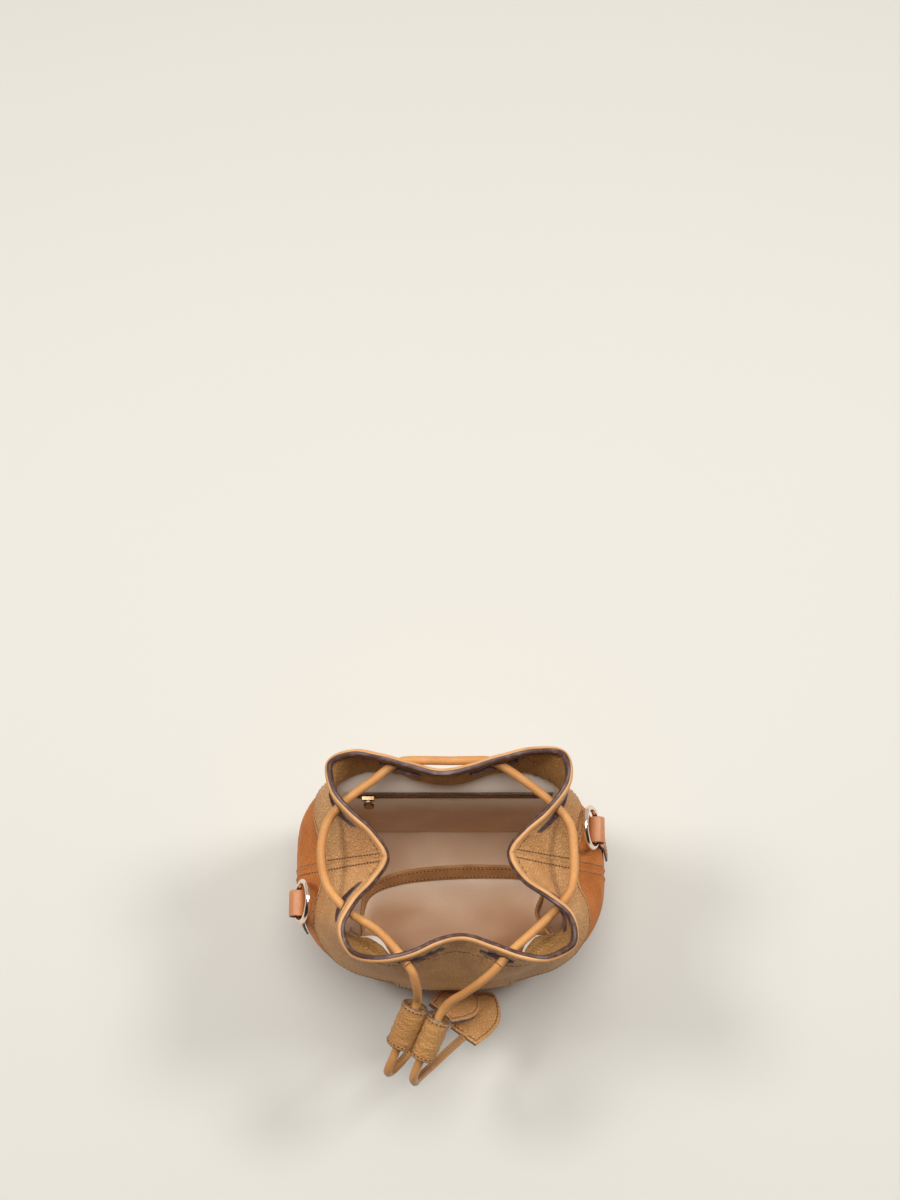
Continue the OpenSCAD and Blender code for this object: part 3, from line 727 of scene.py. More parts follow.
# Distance from the cord's end and half width there
SHIELD = [
    (0, 12.0), (5, 13.6), (14, 16.5), (20, 17.3), (24, 17.5), (28, 16.7), (32, 15.0), (36, 12.0),
    (40, 8.0), (42.3, 4.4), (43.6, 1.6),
]


def shield_half(v):
    for (a, ha), (b, hb) in zip(SHIELD, SHIELD[1:]):
        if v <= b:
            return ha + (hb - ha) * (v - a) / (b - a)
    return SHIELD[-1][1]


TAB_LEN, TAB_COLS = 43.6, 36
TAB_ROWS = [0, 0.5] + [1.5 + k * 1.25 for k in range(33)] + [43.0, TAB_LEN]


def tab_outline():
    """The row of stitching round an end tab: across and along from the cord's end."""
    up = [3 + k * 1.5 for k in range(25)]
    outline = [(-shield_half(v) + 3.0, v) for v in up]
    outline += [(-3.5, 40.6), (0, 41.2), (3.5, 40.6)]
    outline += [(shield_half(v) - 3.0, v) for v in reversed(up)]
    outline = [(a, v) for a, v in outline if abs(a) > 0.4 or v > 40]
    return outline + [(-shield_half(3) + 3.0, 3)]


def end_tab(side, spot):
    """Two plies sewn round the cord's end; the stitched border dips and the middle is slightly full."""
    origin, direction, across = spot
    z = direction.normalized()
    y = z.cross(across).normalized()
    x = y.cross(z)
    turn = 1 if side == "left" else -1
    seed = 5 if side == "left" else 9

    def curl(a):
        return 0.9 * (a / 17.5) ** 2 * turn

    def pair(ply, v, i):
        half = shield_half(v)
        s = math.sin((i / TAB_COLS * 2 - 1) * math.pi / 2)
        edge = min(half * (1 - abs(s)), v, TAB_LEN - v + 0.2)
        puff = 0.45 * smooth(edge / 9) - 0.22 * math.exp(-((edge - 3.0) / 1.1) ** 2)
        puff += 0.2 * noise.noise(Vector((s * 2, v / 12, seed)))
        cord = 0.9 * math.exp(-(half * s / 3.4) ** 2) * (1 - smooth((v - 4) / 14))
        soft = 0.5 * (1 - smooth(edge / 0.8))
        mid = origin + z * v + x * (half * s) + y * curl(half * s)
        if ply == "top":
            return mid + y * (-PLY_T - (puff + cord) + soft), mid
        return mid + y * 0.02, mid + y * (PLY_T + (puff * 0.6 + cord) - soft)

    pieces = []
    for ply in ("top", "under"):
        pieces.append(shell(
            f"end_tab_{side}_{ply}", (TAB_ROWS, range(TAB_COLS + 1)), lambda v, i: pair(ply, v, i),
            [GRAIN, GRAIN, PAINT], (BODY, "grained_leather", f"{side}_end_tab_{ply}"),
            band=lambda j, i: 2 if i in (0, TAB_COLS - 1) or j in (0, len(TAB_ROWS) - 2) else None))
    rows = Stitches(f"end_tab_{side}_stitches", length=2.1, pitch=2.9, radius=0.38)
    outline = tab_outline()
    for face in (-1, 1):
        pts = [origin + z * v + x * a + y * (curl(a) + face * (PLY_T + 0.12)) for a, v in outline]
        rows.row(pts, [y * face] * len(pts))
    pieces.append(rows.done(BODY, "grained_leather"))
    return pieces


camera()
free = cords()
tubes, web, slider_rows = slider()
for side, spot in (("left", LEFT_TAB), ("right", RIGHT_TAB)):
    parts = end_tab(side, spot)
    obj, pts = free[side]


# ---------------------------------------------------------------- wall panels
def angles(first, last, step=1.25):
    count = round((last - first) / step)
    return [first + (last - first) * k / count for k in range(count + 1)]


def levels(low, high, gap):
    count = max(1, round((high - low) / gap))
    return [low + (high - low) * k / count for k in range(count + 1)]


def in_slit(u, slits):
    return next((s for s in slits if s[0] <= u <= s[1]), None)


def crossing(slit):
    """The angle at which a cord goes through a slit."""
    near = [(min((wall(u, SLIT_Z) - p).length for p in CORD_POINTS), u)
            for u in (slit[0] + 0.75 * k for k in range(1, int((slit[1] - slit[0]) / 0.75)))]
    return min(near)[1]


CORD_POINTS = dense(LOOP_ROUTE) + dense(LEFT_ROUTE[:3]) + dense(RIGHT_ROUTE[:3])
CROSSINGS = {slit: crossing(slit) for slit in BACK_SLITS + FRONT_SLITS}


def gape(u, slits):
    """Half the opening of a cord slit at angle u: a narrow lens, widest where the cord goes through."""
    for slit in slits:
        if slit[0] <= u <= slit[1]:
            ends = math.sin(math.pi * (u - slit[0]) / (slit[1] - slit[0])) ** 0.5
            return 0.35 + 1.15 * ends + 1.5 * math.exp(-((u - CROSSINGS[slit]) / 5.0) ** 2)
    return 0.35


def yoke_low(u):
    """Height of the yoke's lower edge beside the tongue, with a little hand-cut wander."""
    return (lookup(u, YOKE_EDGE) if u > 180 else YOKE_Z) + 0.9 * rough(u, 6, 2)


def edge_soft(dist, r=0.9):
    """How far a cut edge's corner is rounded back at this distance from it."""
    t = clamp(dist / r)
    return 0.55 * (1 - math.sqrt(max(0.0, 1 - (1 - t) ** 2)))


LIP_STEPS = (6.0, 3.4, 1.8, 0.8, 0.25, 0.0)


def slit_rows():
    """Rows that close in on the slits from below, then move off above them."""
    return [("a", k) for k in LIP_STEPS] + [("b", k) for k in reversed(LIP_STEPS)]


def slit_height(kind, v, u, slits):
    if kind == "a":
        return SLIT_Z - gape(u, slits) - v * 0.9
    return SLIT_Z + gape(u, slits) + v * 0.9


def cut_edge(kind, v, u, slits):
    """Whether a face is part of a slit's painted edge."""
    return in_slit(u, slits) and ((kind == "a" and v <= 1.8) or (kind == "b" and v < 3.4))


def in_tongue(u):
    return TONGUE[0] < u < TONGUE[1]


def suede_panel(name, first, last, node):
    """Half of the suede body, raised a little along the side seams."""
    us, zs = angles(first, last), [3.0, 3.6, 4.8] + levels(6.5, SUEDE_TOP, 2.4)

    def pair(z, u):
        d = -seam_rise(u) * smooth((z - 4) / 6) + 0.6 * (1 - smooth((z - 3) / 3))
        return inset(u, z, d), inset(u, z, SUEDE_T)

    shell(name, (zs, us), pair, [SUEDE] * 3, (BODY, "suede", node))


def yoke_rows(tongue):
    """Rows as (kind, value): t up the tongue, l off the lower edge, m up to full width, z at a height,
    a and b at the slits' lower and upper lips."""
    rows = []
    if tongue:
        rows += [("t", z) for z in (TONGUE_Z, TONGUE_Z + 0.3, TONGUE_Z + 1.0)]
        rows += [("t", z) for z in levels(TONGUE_Z + 3, TONGUE_TOP - 3, 2.5)]
    rows += [("l", d) for d in (0, 0.35, 1.0, 2.2, 4.0)]
    count = 17 if tongue else 2
    rows += [("m", (k + 1) / count) for k in range(count)]
    rows += [("z", z) for z in levels(YOKE_Z + 10.5, 196, 2.5)] + slit_rows()
    edge = (215.2, 216.8, 217.8, 218.4, 219.0, 219.8, 220.5, 221.1, 221.6, 221.9, 222.0)
    return rows + [("z", z) for z in edge]


def yoke_height(kind, v, u, slits):
    if kind == "l":
        return yoke_low(u) + v
    if kind == "m":
        low = yoke_low(u) + 4.0
        return low + (YOKE_Z + 8 - low) * v
    return slit_height(kind, v, u, slits) if kind in "ab" else v


def lip(kind, v, u, slits):
    """How far the leather turns outward at a slit."""
    s = in_slit(u, slits)
    if kind not in "ab" or not s:
        return 0.0
    w = math.sin(math.pi * (u - s[0]) / (s[1] - s[0])) ** 0.6
    return (1.9 if kind == "a" else 0.4) * w * math.exp(-v / 2.0) - edge_soft(v, 0.8)


def bead(kind, v):
    """The mouth's turned edge: it stands proud of the panel and rolls over at the top."""
    if kind != "z" or v < 216:
        return 0.0
    rolled = 1.9 * (1 - math.sqrt(max(0.0, 1 - clamp((v - 220.2) / 1.8) ** 2)))
    return rolled - 0.75 * smooth((v - 217.6) / 0.9)


def yoke(name, first, last, slits, tongue, node):
    """A grained band round the mouth, slit for the cord; the front one has a tongue."""
    us = sorted(set(angles(first, last) + [TONGUE[0], TONGUE[1]])) if tongue else angles(first, last)
    rows = yoke_rows(tongue)

    def low_edge(kind, v, u):
        if kind == "l" and not (tongue and in_tongue(u)):
            return edge_soft(v)
        return edge_soft(v - TONGUE_Z) if kind == "t" else 0.0

    def pair(row, u):
        kind, v = row
        z = yoke_height(kind, v, u, slits)
        d = -YOKE_T - seam_rise(u, 2.2, 0.5) - lip(kind, v, u, slits) + bead(kind, v) + low_edge(kind, v, u)
        return inset(u, z, d), inset(u, z, -SKIN_GAP)

    def keep(j, i):
        u, kind = (us[i] + us[i + 1]) / 2, rows[j][0]
        if kind == "t" and not in_tongue(u):
            return False
        return not (kind == "a" and rows[j + 1][0] == "b" and in_slit(u, slits))

    def band(j, i):
        u = (us[i] + us[i + 1]) / 2
        kind, v = rows[j]
        low = kind == "l" and v < 0.35 and not (tongue and in_tongue(u))
        if cut_edge(kind, v, u, slits) or low or (kind == "t" and v < TONGUE_Z + 0.3):
            return 2
        return 3 if kind == "z" and v >= 217.8 else None

    shell(name, (rows, us), pair, [GRAIN, GRAIN_INSIDE, PAINT, RAW_EDGE], (BODY, "grained_leather", node),
          keep=keep, band=band, ends=(2, 2, 2, 3))


def bulge(u):
    """How far the facing and the cloth puff into the mouth at its two front corners."""
    return 10.5 * math.exp(-((u - 229) / 11) ** 2) + 9.5 * math.exp(-((u - 314) / 8.5) ** 2)


def facing(name, first, last, slits, node):
    """The leather band inside the mouth; its lower edge is pinked, one tooth in four steps."""
    us = angles(first, last, 1.0)
    rows = [("p", v) for v in (0, 1, 2, 3)] + [("z", z) for z in levels(FACING_Z + 6, 196, 2.6)] + slit_rows()
    rows += [("z", z) for z in (215.5, 217.4, 218.4, 219.0, 219.8, 220.6, 221.3, 221.8, 222.2)]

    def height(kind, v, u, i):
        if kind == "p":
            tooth = 2.2 * (1 - abs((i % 4) - 2) / 2.0)
            return FACING_Z + tooth * (1 - v / 3) + v * 1.5
        return slit_height(kind, v, u, slits) if kind in "ab" else v

    def pair(row, col):
        (kind, v), (i, u) = row, col
        z = height(kind, v, u, i)
        d = FACING_GAP * clamp((SLIT_Z - SLIT_H / 2 - z) / 20) + 0.02 + bulge(u) * smooth((202 - z) / 20)
        thick = FACING_T + 1.2 * smooth((z - 217.2) / 1.6) - 1.0 * smooth((z - 221) / 1.2)
        if kind in "ab" and in_slit(u, slits):
            thick += (2.2 if kind == "a" else 0.5) * math.exp(-v / 1.6) - edge_soft(v, 0.7)
        wave = max(0.0, 0.7 * rough(u, 9, z / 30) * clamp((200 - z) / 20))
        return inset(u, z, d + wave), inset(u, z, d + thick + wave)

    def keep(j, i):
        return not (rows[j][0] == "a" and rows[j + 1][0] == "b" and in_slit((us[i] + us[i + 1]) / 2, slits))

    def band(j, i):
        kind, v = rows[j]
        painted = cut_edge(kind, v, (us[i] + us[i + 1]) / 2, slits) or (kind == "z" and v >= 219.0)
        return 2 if painted else None

    shell(name, (rows, list(enumerate(us))), pair, [GRAIN_INSIDE, GRAIN_INSIDE, PAINT],
          (BODY, "facing_leather", node), keep=keep, band=band)


def toward_middle(p, f, z):
    """Point p drawn in to share f of its distance from the base's middle, at height z."""
    return Vector((p.x * f, SEAM_Y + (p.y - SEAM_Y) * f, z))


def base():
    """The base panel: rings of points that shrink toward the middle, above and below."""
    us = angles(0, 360, 1.25)[:-1]
    rings = [1.0, 0.992, 0.96, 0.85, 0.6, 0.3]
    top, low = [], []
    for f in rings:
        t_row, l_row = [], []
        for u in us:
            p = wall(u, BASE_T)
            d = 0.9 if f == 1.0 else 0.15 if f > 0.99 else 0.0
            l_row.append(toward_middle(p, f, d))
            t_row.append(toward_middle(p, f, BASE_T))
        top.append(t_row)
        low.append(l_row)
    verts = [p for row in low for p in row] + [p for row in top for p in row]
    n, faces = len(us), []
    off = len(rings) * n
    for j in range(len(rings) - 1):
        for i in range(n):
            a, b = j * n + i, j * n + (i + 1) % n
            faces.append((a, a + n, b + n, b))
            faces.append((off + a, off + b, off + b + n, off + a + n))
    for i in range(n):
        faces.append((i, (i + 1) % n, off + (i + 1) % n, off + i))
    last = (len(rings) - 1) * n
    faces.append(tuple(last + i for i in reversed(range(n))))
    faces.append(tuple(off + last + i for i in range(n)))
    obj = make("base_suede", verts, faces, [SUEDE])
    split_edges(obj)
    belong(obj, BODY, "suede", "base_panel")


def cloth_wave(u, z, amount):
    """Soft fullness of the hanging cotton."""
    return amount * rough(u, 3.2, z / 55.0 + 2.0)


def lining_panel(name, first, last, node):
    """Half of the hanging lining; the front half puffs into the mouth."""
    us, zs = angles(first, last, 1.5), levels(BASE_T + 1.6, LINING_TURN, 4.0) + [174.5, 177.0, LINING_TOP]

    def point(u, z, d):
        p = lining(u, z, d)
        n = at(u, z)[1]
        free = smooth((z - 8) / 30) * smooth((172 - z) / 25)
        if first < 90 and p.y > BACK_PLANE - 1.5:
            free *= 0.15
        puff = 0.0
        if first > 90:
            puff = bulge(u) * (smooth((z - 138) / 26) + 0.75 * math.sin(math.pi * clamp((z - 142) / 36)) ** 2)
        return p - n * ((1.0 + cloth_wave(u, z, 2.4)) * free + puff)

    shell(name, (zs, us), lambda z, u: (point(u, z, 0.0), point(u, z, LINING_T)), [COTTON] * 3,
          (BODY, "lining_cloth", node))


def lining_floor():
    """The lining's floor, loosely padded, closed below by a flat sheet."""
    us = angles(0, 360, 2.5)[:-1]
    rings = [1.0, 0.97, 0.9, 0.78, 0.62, 0.45, 0.28, 0.12]
    verts, faces = [], []
    for f in rings:
        for u in us:
            p = lining(u, BASE_T + 1, 0.0)
            puff = 1.2 * (1 - f) + 0.6 * noise.noise(Vector((p.x * f / 24, p.y * f / 24, 1)))
            z = BASE_T + 1.5 + (max(0.0, puff) if f < 1 else 0.0)
            verts.append(toward_middle(p, f, z))
    n = len(us)
    for j in range(len(rings) - 1):
        for i in range(n):
            a, b = j * n + i, j * n + (i + 1) % n
            faces.append((a, b, b + n, a + n))
    last = (len(rings) - 1) * n
    faces.append(tuple(last + i for i in range(n)))
    under = len(verts)
    verts += [Vector((v.x, v.y, BASE_T + 0.3)) for v in verts[:n]]
    for i in range(n):
        faces.append((i, under + i, under + (i + 1) % n, (i + 1) % n))
    faces.append(tuple(under + i for i in reversed(range(n))))
    obj = make("lining_floor", verts, faces, [COTTON])
    belong(obj, BODY, "lining_cloth", "lining_base")


# ---------------------------------------------------------------- pockets
# The slip pocket's upper and lower edge (x, y), in even steps from its left end to its right end
POCKET_TOP = [
    (-77, -47), (-67, -43), (-68, -24), (-63, -5), (-42, 6), (-8, 11),
    (30, 12), (58, 9), (71, -6), (66, -26), (78, -45),
]
POCKET_FOOT = [
    (-84, -20), (-80, -30), (-70, -38), (-52, -45), (-27, -50), (0, -52),
    (27, -50), (52, -45), (70, -38), (80, -30), (84, -20),
]
POCKET_Z, POCKET_COLS, BAND_FROM = 122.0, 96, 0.89


def pocket_at(s, v):
    """Point of the pocket at share s across and share v up."""
    t = s * (len(POCKET_TOP) - 1)
    fx, fy = open_at(POCKET_FOOT, t)
    tx, ty = open_at(POCKET_TOP, t)
    k = v ** 1.2
    return Vector((fx + (tx - fx) * k, fy + (ty - fy) * k, BASE_T + 6 + (POCKET_Z - BASE_T - 6) * v))


def pocket_normal(s, v):
    s0, s1 = max(0.0, s - 0.01), min(1.0, s + 0.01)
    across = pocket_at(s1, v) - pocket_at(s0, v)
    return across.cross(pocket_at(s, v + 0.01) - pocket_at(s, v - 0.01)).normalized()


def pocket_sag(s, v):
    """How far the pocket's cloth falls into folds."""
    fold = noise.noise(Vector((s * 5.5, v * 3.2, 4.0))) * 3.2
    fold += noise.noise(Vector((s * 13, v * 5, 8.0))) * 0.9
    return fold * smooth(v / 0.25) * smooth((BAND_FROM - v) / 0.2) * smooth(min(s, 1 - s) / 0.12)


def pocket_point(s, v, d):
    return pocket_at(s, v) - pocket_normal(s, v) * d


def pocket():
    """The slip pocket's cloth and the leather band along its mouth."""
    across = [k / POCKET_COLS for k in range(POCKET_COLS + 1)]

    def cloth(v, s):
        p = pocket_point(s, v, pocket_sag(s, v))
        return p, p - pocket_normal(s, v) * 0.9

    def trim(v, s):
        edge = min(v - BAND_FROM, 1.0 - v) * 113
        soft = edge_soft(edge, 0.9)
        groove = 0.16 * math.exp(-((edge - 2.4) / 0.7) ** 2)
        return pocket_point(s, v, -0.7 + soft + groove), pocket_point(s, v, 1.6 - soft - groove)

    up = [0.02 + (0.875 - 0.02) * k / 34 for k in range(35)] + [0.882, BAND_FROM]
    shell("pocket_cloth", (up, across), cloth, [COTTON] * 3, (BODY, "lining_cloth", "slip_pocket"))
    up = [BAND_FROM, 0.893, 0.90] + [0.905 + 0.0085 * k for k in range(10)] + [0.989, 0.996, 1.0]
    shell("pocket_trim", (up, across), trim, [TRIM] * 3, (BODY, "facing_leather", "pocket_band"))
    rows = Stitches("pocket_stitches", length=2.1, pitch=3.0, radius=0.4)
    shares = [k / 120 for k in range(1, 120)]
    for v in (0.912, 0.978):
        for d, sign in ((-0.78, 1), (1.68, -1)):
            rows.row([pocket_point(s, v, d) for s in shares], [pocket_normal(s, v) * sign for s in shares])
    rows.done(BODY, "facing_leather")


def slab(name, size, centre, mats, cells, shape=None):
    """A soft-edged slab with its face toward -Y, built as a fine grid; shape(x, z) lifts the face."""
    w, t, h = size
    nx, nz = cells

    def pair(j, i):
        x, z = (i / nx - 0.5) * w, (j / nz - 0.5) * h
        edge = min(w / 2 - abs(x), h / 2 - abs(z))
        soft = 0.35 * (1 - smooth(edge / 0.8)) * min(1.0, t)
        lift = shape(x, z) if shape else 0.0
        return (Vector((centre[0] + x, centre[1] - t / 2 + soft - lift, centre[2] + z)),
                Vector((centre[0] + x, centre[1] + t / 2, centre[2] + z)))

    outer, inner = grids(range(nz + 1), range(nx + 1), pair)
    return solid(name, outer, inner, mats)


# Name, width, height, x and z of each strip round the zip
ZIP_FRAME = [
    ("zip_welt_top", 156, 4.8, 0, ZIP_Z + 5.1), ("zip_welt_low", 156, 4.8, 0, ZIP_Z - 5.1),
    ("zip_end_left", 7, 5.4, -74.5, ZIP_Z), ("zip_end_right", 7, 5.4, 74.5, ZIP_Z),
]
TOOTH_PITCH, ZIP_FACE, FORWARD = 1.3, BACK_PLANE - 0.1, Vector((0, -1, 0))


def zip_frame():
    """Four leather strips round the zip, with their stitching."""
    rows = Stitches("zip_stitches", length=2.1, pitch=2.9, radius=0.4)
    for name, w, h, x, z in ZIP_FRAME:
        obj = slab(name, (w, 1.2, h), (x, ZIP_FACE - 0.6, z), [ZIP_TRIM, ZIP_TRIM, PAINT],
                   (max(6, int(w / 2)), 10),
                   lambda a, b: 0.18 + 0.15 * noise.noise(Vector((a / 9, b / 3, 2))))
        belong(obj, BODY, "facing_leather")
    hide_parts("zip_frame")
    for dz in (6.0, -6.0):
        pts = [Vector((-75 + 150 * k / 30, ZIP_FACE - 1.5, ZIP_Z + dz)) for k in range(31)]
        rows.row(pts, [FORWARD] * 31)
    for x in (-75.5, 75.5):
        rows.row([Vector((x, ZIP_FACE - 1.5, ZIP_Z - 6 + 12 * k / 6)) for k in range(7)], [FORWARD] * 7)
    rows.done(BODY, "facing_leather")


def zip_teeth():
    """Two rows of small teeth that take turns along the zip."""
    verts, faces = [], []
    for k in range(int(ZIP_LEN / TOOTH_PITCH)):
        x = -ZIP_LEN / 2 + (k + 0.5) * TOOTH_PITCH
        side = -1 if k % 2 == 0 else 1
        base = len(verts)
        for dy in (0.0, 0.95):
            for dx, dz in ((-0.42, -0.25), (0.42, -0.25), (0.50, 1.5), (-0.50, 1.5)):
                y = ZIP_FACE - 0.62 - dy * (1.0 if dz < 0 else 0.8)
                verts.append(Vector((x + dx, y, ZIP_Z + side * (dz - 0.45))))
        quads = [(0, 1, 2, 3), (7, 6, 5, 4), (0, 4, 5, 1), (1, 5, 6, 2), (2, 6, 7, 3), (3, 7, 4, 0)]
        faces += [tuple(base + q for q in quad) for quad in quads]
    teeth = make("zip_tooth_rows", verts, faces, [ZIP_METAL], shade=False)
    belong(teeth, BODY, "zip_metal", "zip_teeth")


def zip_pocket():
    """The back pocket's zip and the blank label above it."""
    zip_frame()
    tape = slab("zip_tape_cloth", (ZIP_LEN + 3.4, 0.6, 5.0), (0, ZIP_FACE - 0.3, ZIP_Z),
                [ZIP_TAPE] * 3, (60, 4))
    belong(tape, BODY, "zip_tape_cloth", "zip_tape")
    zip_teeth()
    label = slab("blank_label", (36, 0.6, 13), (3, BACK_PLANE - 0.4, LABEL_Z), [LABEL] * 3, (36, 13),
                 shape=lambda a, b: 0.12 * noise.noise(Vector((a / 8, b / 5, 3))))
    belong(label, BODY, "label_leather", "inner_label")


def puller():
    """A short leather puller on its ring, with a waist at the eye."""
    x0, y0, z0 = -63.0, 55.9, ZIP_Z - 6.0
    heights = [1.9, 1.5, 0.4, -1.0, -2.2] + [-3.4 - k * 1.1 for k in range(10)] + [-14.0, -14.4]

    def pair(z, k):
        half = 1.5 if z > -1.2 else 1.5 + 2.5 * smooth((-1.2 - z) / 3.0)
        if z < -11:
            half -= 1.6 * smooth((-11 - z) / 3.4)
        thick = 1.1 if z < -1.0 else 0.55 + 0.7 * math.sqrt(max(0.0, 1 - (z / 1.95) ** 2))
        s = math.sin((k / 12 - 0.5) * math.pi)
        soft = 0.4 * (1 - smooth((1 - abs(s)) * half / 0.8))
        return (Vector((x0 + half * s, y0 - thick + soft, z0 + z)),
                Vector((x0 + half * s, y0 + thick - soft, z0 + z)))

    shell("zip_pull_leather", (heights[::-1], range(13)), pair, [TRIM, TRIM, PAINT],
          ("zip_pull", "facing_leather", "zip_puller"))
    rows = Stitches("zip_pull_stitches", length=1.3, pitch=1.9, radius=0.25)
    for s in (-2.6, 2.6):
        near = [1 - 0.25 * max(0.0, k - 4) / 2 for k in range(7)]
        pts = [Vector((x0 + s * share, y0 - 1.15, z0 - 4 - k * 1.5)) for k, share in enumerate(near)]
        rows.row(pts, [FORWARD] * 7)
    rows.done("zip_pull", "facing_leather")


# ---------------------------------------------------------------- rings and their leather loops
FOOT_HALF, FOOT_DROP, STRAP_COLS = 17, 40, 20


def chape_u(y, side):
    """The angle round the wall at which a strap's point y lies."""
    a = math.degrees(math.asin((y - SEAM_Y) / (HALF_W - 2)))
    return a % 360 if side > 0 else 180 - a


def strap_half(up):
    """Half width of a strap at a height above its foot."""
    return FOOT_HALF + (LOOP_W / 2 - FOOT_HALF) * smooth(up / 24)


def loop_strap(name, x0, y0, z0, side, node):
    """One strap from the wall up, round the ring and back down to the wall, flared at its sewn foot."""
    foot = z0 - FOOT_DROP
    stations = [("wall", foot + k) for k in (0, 0.4, 1.2, 3, 6, 9, 12, 15, 18, 21, 24)]
    stations += [("arc", -62 + k * (62 + 232) / 30) for k in range(31)]

    def pair(station, i):
        kind, v = station
        c = math.sin((i / STRAP_COLS - 0.5) * math.pi)
        if kind == "wall":
            half = strap_half(v - foot)
            u = chape_u(y0 + side * c * half, side)
            edge = min(half * (1 - abs(c)), v - foot + 0.1)
            soft = edge_soft(edge, 0.8) + 0.15 * math.exp(-((edge - 2.6) / 0.8) ** 2)
            rise = smooth((v - foot - 16) / 10) * 1.2
            return inset(u, v, -2.9 - rise + soft), inset(u, v, -1.2 - rise)
        a = math.radians(v)
        soft = edge_soft(LOOP_W / 2 * (1 - abs(c)), 0.8)
        out = Vector((side * math.cos(a), 0, math.sin(a)))
        centre = Vector((side * x0, y0 + side * c * (LOOP_W / 2), z0))
        return centre + out * (LOOP_R - soft), centre + out * (LOOP_BORE + soft * 0.4)

    shell(name, (stations, range(STRAP_COLS + 1)), pair, [TAB_LEATHER, TAB_LEATHER, PAINT],
          (BODY, "smooth_leather", node),
          band=lambda j, i: 2 if i in (0, STRAP_COLS - 1) or j == 0 else None)
    rows = Stitches(name + "_stitches", length=2.0, pitch=2.8, radius=0.38)
    pts, nrm = [], []
    path = [(-1, z) for z in (22, 18, 14, 10, 6, 3)] + [(c / 5, 2.6) for c in range(-4, 5)]
    path += [(1, z) for z in (3, 6, 10, 14, 18, 22)]
    for c, up in path:
        u, z = chape_u(y0 + c * (strap_half(up) - 2.6), side), foot + up
        pts.append(inset(u, z, -2.95 - smooth((up - 16) / 10) * 1.2))
        nrm.append(at(u, z)[1])
    rows.row(pts, nrm)
    rows.done(BODY, "smooth_leather")


def ring(name, x0, y0, z0, side, body):
    """A polished ring that hangs from its loop, leaning outward."""
    turn = Matrix.Rotation(math.radians(-side * RING_LEAN), 3, "Y")
    centre = Vector((side * x0, y0, z0)) + turn @ Vector((0, 0, RING_R - RING_DROP))
    verts, faces = [], []
    around, sides, bar = 128, 28, RING_BAR * 0.98
    for k in range(around):
        a = 2 * math.pi * k / around
        d = Vector((0, math.cos(a), math.sin(a)))
        for m in range(sides):
            b = 2 * math.pi * m / sides
            p = d * (RING_R + bar * math.cos(b)) + Vector((bar * math.sin(b), 0, 0))
            verts.append(centre + turn @ p)
    for k in range(around):
        near, far = k * sides, (k + 1) % around * sides
        for m in range(sides):
            after = (m + 1) % sides
            faces.append((near + m, near + after, far + after, far + m))
    obj = make(name, verts, faces, [RING_METAL])
    belong(obj, body, "ring_metal", body)


# ---------------------------------------------------------------- stitching on the walls
def wall_stitches():
    """The rows along the seams, the yokes' edges and the tongue."""
    rows = Stitches("yoke_stitches")
    lift = -YOKE_T - 0.12
    for side in (0.0, 180.0):
        for off in (-2.1, 2.1):
            zs = levels(162, 219, 3)
            rows.wall_row([(side + off) % 360] * len(zs), zs, lift - 0.2)
            turn = [(side + off * k) % 360 for k in (1.0, 1.8, 2.6, 3.4, 4.2)]
            rows.wall_row(turn, [215.6] * 5, lift)
    for first, last in ((4, 176), (184, TONGUE[0] - 1), (TONGUE[1] + 1, 356)):
        us = angles(first, last, 2)
        rows.wall_row(us, [yoke_low(u) + 3.4 for u in us], lift)
    us = angles(TONGUE[0] + 1.6, TONGUE[1] - 1.6, 2)
    rows.wall_row(us, [TONGUE_Z + 3.4] * len(us), lift)
    for u in (TONGUE[0] + 1.5, TONGUE[1] - 1.5):
        zs = levels(TONGUE_Z + 4, TONGUE_TOP + 1, 3)
        rows.wall_row([u] * len(zs), zs, lift)
    us = angles(226, 316, 2)
    rows.wall_row(us, [197.5] * len(us), lift)
    rows.done(BODY, "grained_leather")
    rows = Stitches("suede_stitches")
    for side in (0.0, 180.0):
        for off in (-1.7, 1.7):
            zs = levels(8, 156, 3)
            rows.wall_row([(side + off) % 360] * len(zs), zs, -0.25)
    rows.done(BODY, "suede")


# ---------------------------------------------------------------- stage
FLOOR_HALF, SKY, SKY_STRENGTH = 12.0, (1.0, 0.985, 0.96), 0.55
SKY_FADE = {"From Min": -0.35, "From Max": 0.7, "To Min": 0.05, "To Max": 1.0}
# Name, place, aim, size and power of each lamp
LAMPS = [
    ("key_left", (-1.3, 0.42, 1.95), (0, 0, 0.16), 0.6, 21.0),
    ("key_right", (1.35, 0.5, 1.95), (0, 0, 0.16), 0.6, 22.0),
    ("top", (0.0, 0.2, 2.6), (0, 0, 0.1), 1.2, 34.0),
]


def ground():
    mesh = bpy.data.meshes.new("floor")
    h = FLOOR_HALF
    mesh.from_pydata([(-h, -h, 0), (h, -h, 0), (h, h, 0), (-h, h, 0)], [], [(0, 1, 2, 3)])
    mesh.materials.append(FLOOR)
    floor = bpy.data.objects.new("floor", mesh)
    bpy.context.scene.collection.objects.link(floor)


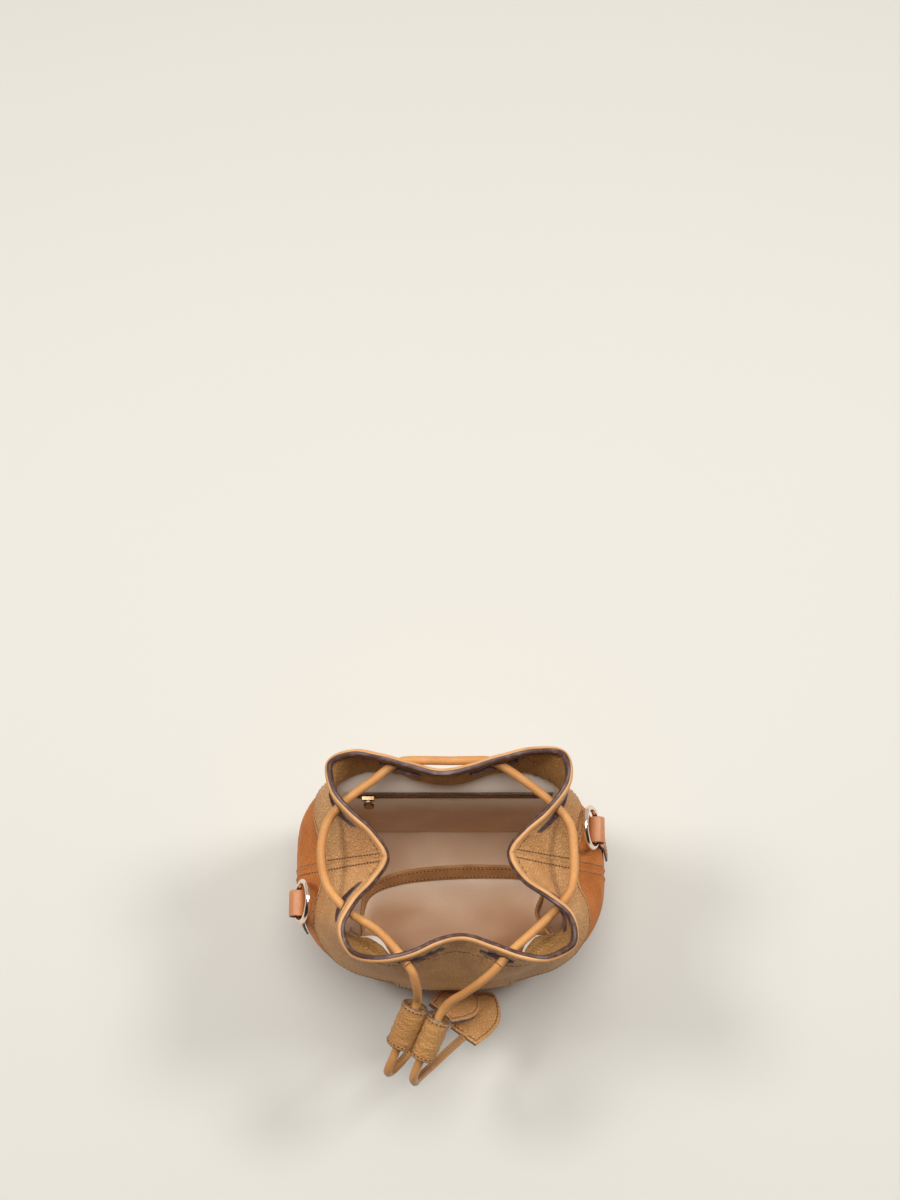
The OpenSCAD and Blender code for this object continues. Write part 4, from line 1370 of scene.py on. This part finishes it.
def surroundings():
    """A pale sky that fades toward the front, so that the metal has something dark to mirror."""
    world = bpy.data.worlds.new("studio")
    bpy.context.scene.world = world
    world.use_nodes = True
    tree = world.node_tree
    sky = tree.nodes["Background"]
    sky.inputs["Strength"].default_value = SKY_STRENGTH
    parts = tree.nodes.new("ShaderNodeSeparateXYZ")
    tree.links.new(tree.nodes.new("ShaderNodeTexCoord").outputs["Generated"], parts.inputs[0])
    fade = tree.nodes.new("ShaderNodeMapRange")
    for key, value in SKY_FADE.items():
        fade.inputs[key].default_value = value
    tree.links.new(parts.outputs["Y"], fade.inputs["Value"])
    tint = tree.nodes.new("ShaderNodeVectorMath")
    tint.operation = "SCALE"
    tint.inputs[0].default_value = SKY
    tree.links.new(fade.outputs["Result"], tint.inputs["Scale"])
    tree.links.new(tint.outputs[0], sky.inputs["Color"])


def lamps():
    for name, spot, aim, size, power in LAMPS:
        light = bpy.data.lights.new(name, "AREA")
        light.shape = "DISK"
        light.size = size
        light.energy = power
        obj = bpy.data.objects.new(name, light)
        bpy.context.scene.collection.objects.link(obj)
        obj.location = spot
        obj.rotation_euler = looking(spot, aim)


def stage():
    """Floor, sky and lamps, shown as plain colours."""
    ground()
    surroundings()
    lamps()
    bpy.context.scene.view_settings.view_transform = "Standard"
    bpy.context.scene.view_settings.look = "None"


suede_panel("suede_back", 0, 180, "back_body")
suede_panel("suede_front", 180, 360, "front_body")
yoke("yoke_back", 0, 180, BACK_SLITS, False, "back_yoke")
yoke("yoke_front", 180, 360, FRONT_SLITS, True, "front_yoke")
facing("facing_back", 0, 180, BACK_SLITS, "back_facing")
facing("facing_front", 180, 360, FRONT_SLITS, "front_facing")
base()
lining_panel("lining_back", 0, 180, "back_lining")
lining_panel("lining_front", 180, 360, "front_lining")
lining_floor()
pocket()
zip_pocket()
puller()
for side, (x0, y0, z0, sign) in LOOPS.items():
    loop_strap(f"loop_strap_{side}", x0, y0, z0, sign, f"{side}_tab")
    ring(f"{side}_ring_metal", x0, y0, z0, sign, f"{side}_ring")
wall_stitches()
for node in ("zip_slider", "zip_ring"):
    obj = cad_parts[node]
    obj.data.materials.clear()
    obj.data.materials.append(ZIP_METAL)
stage()
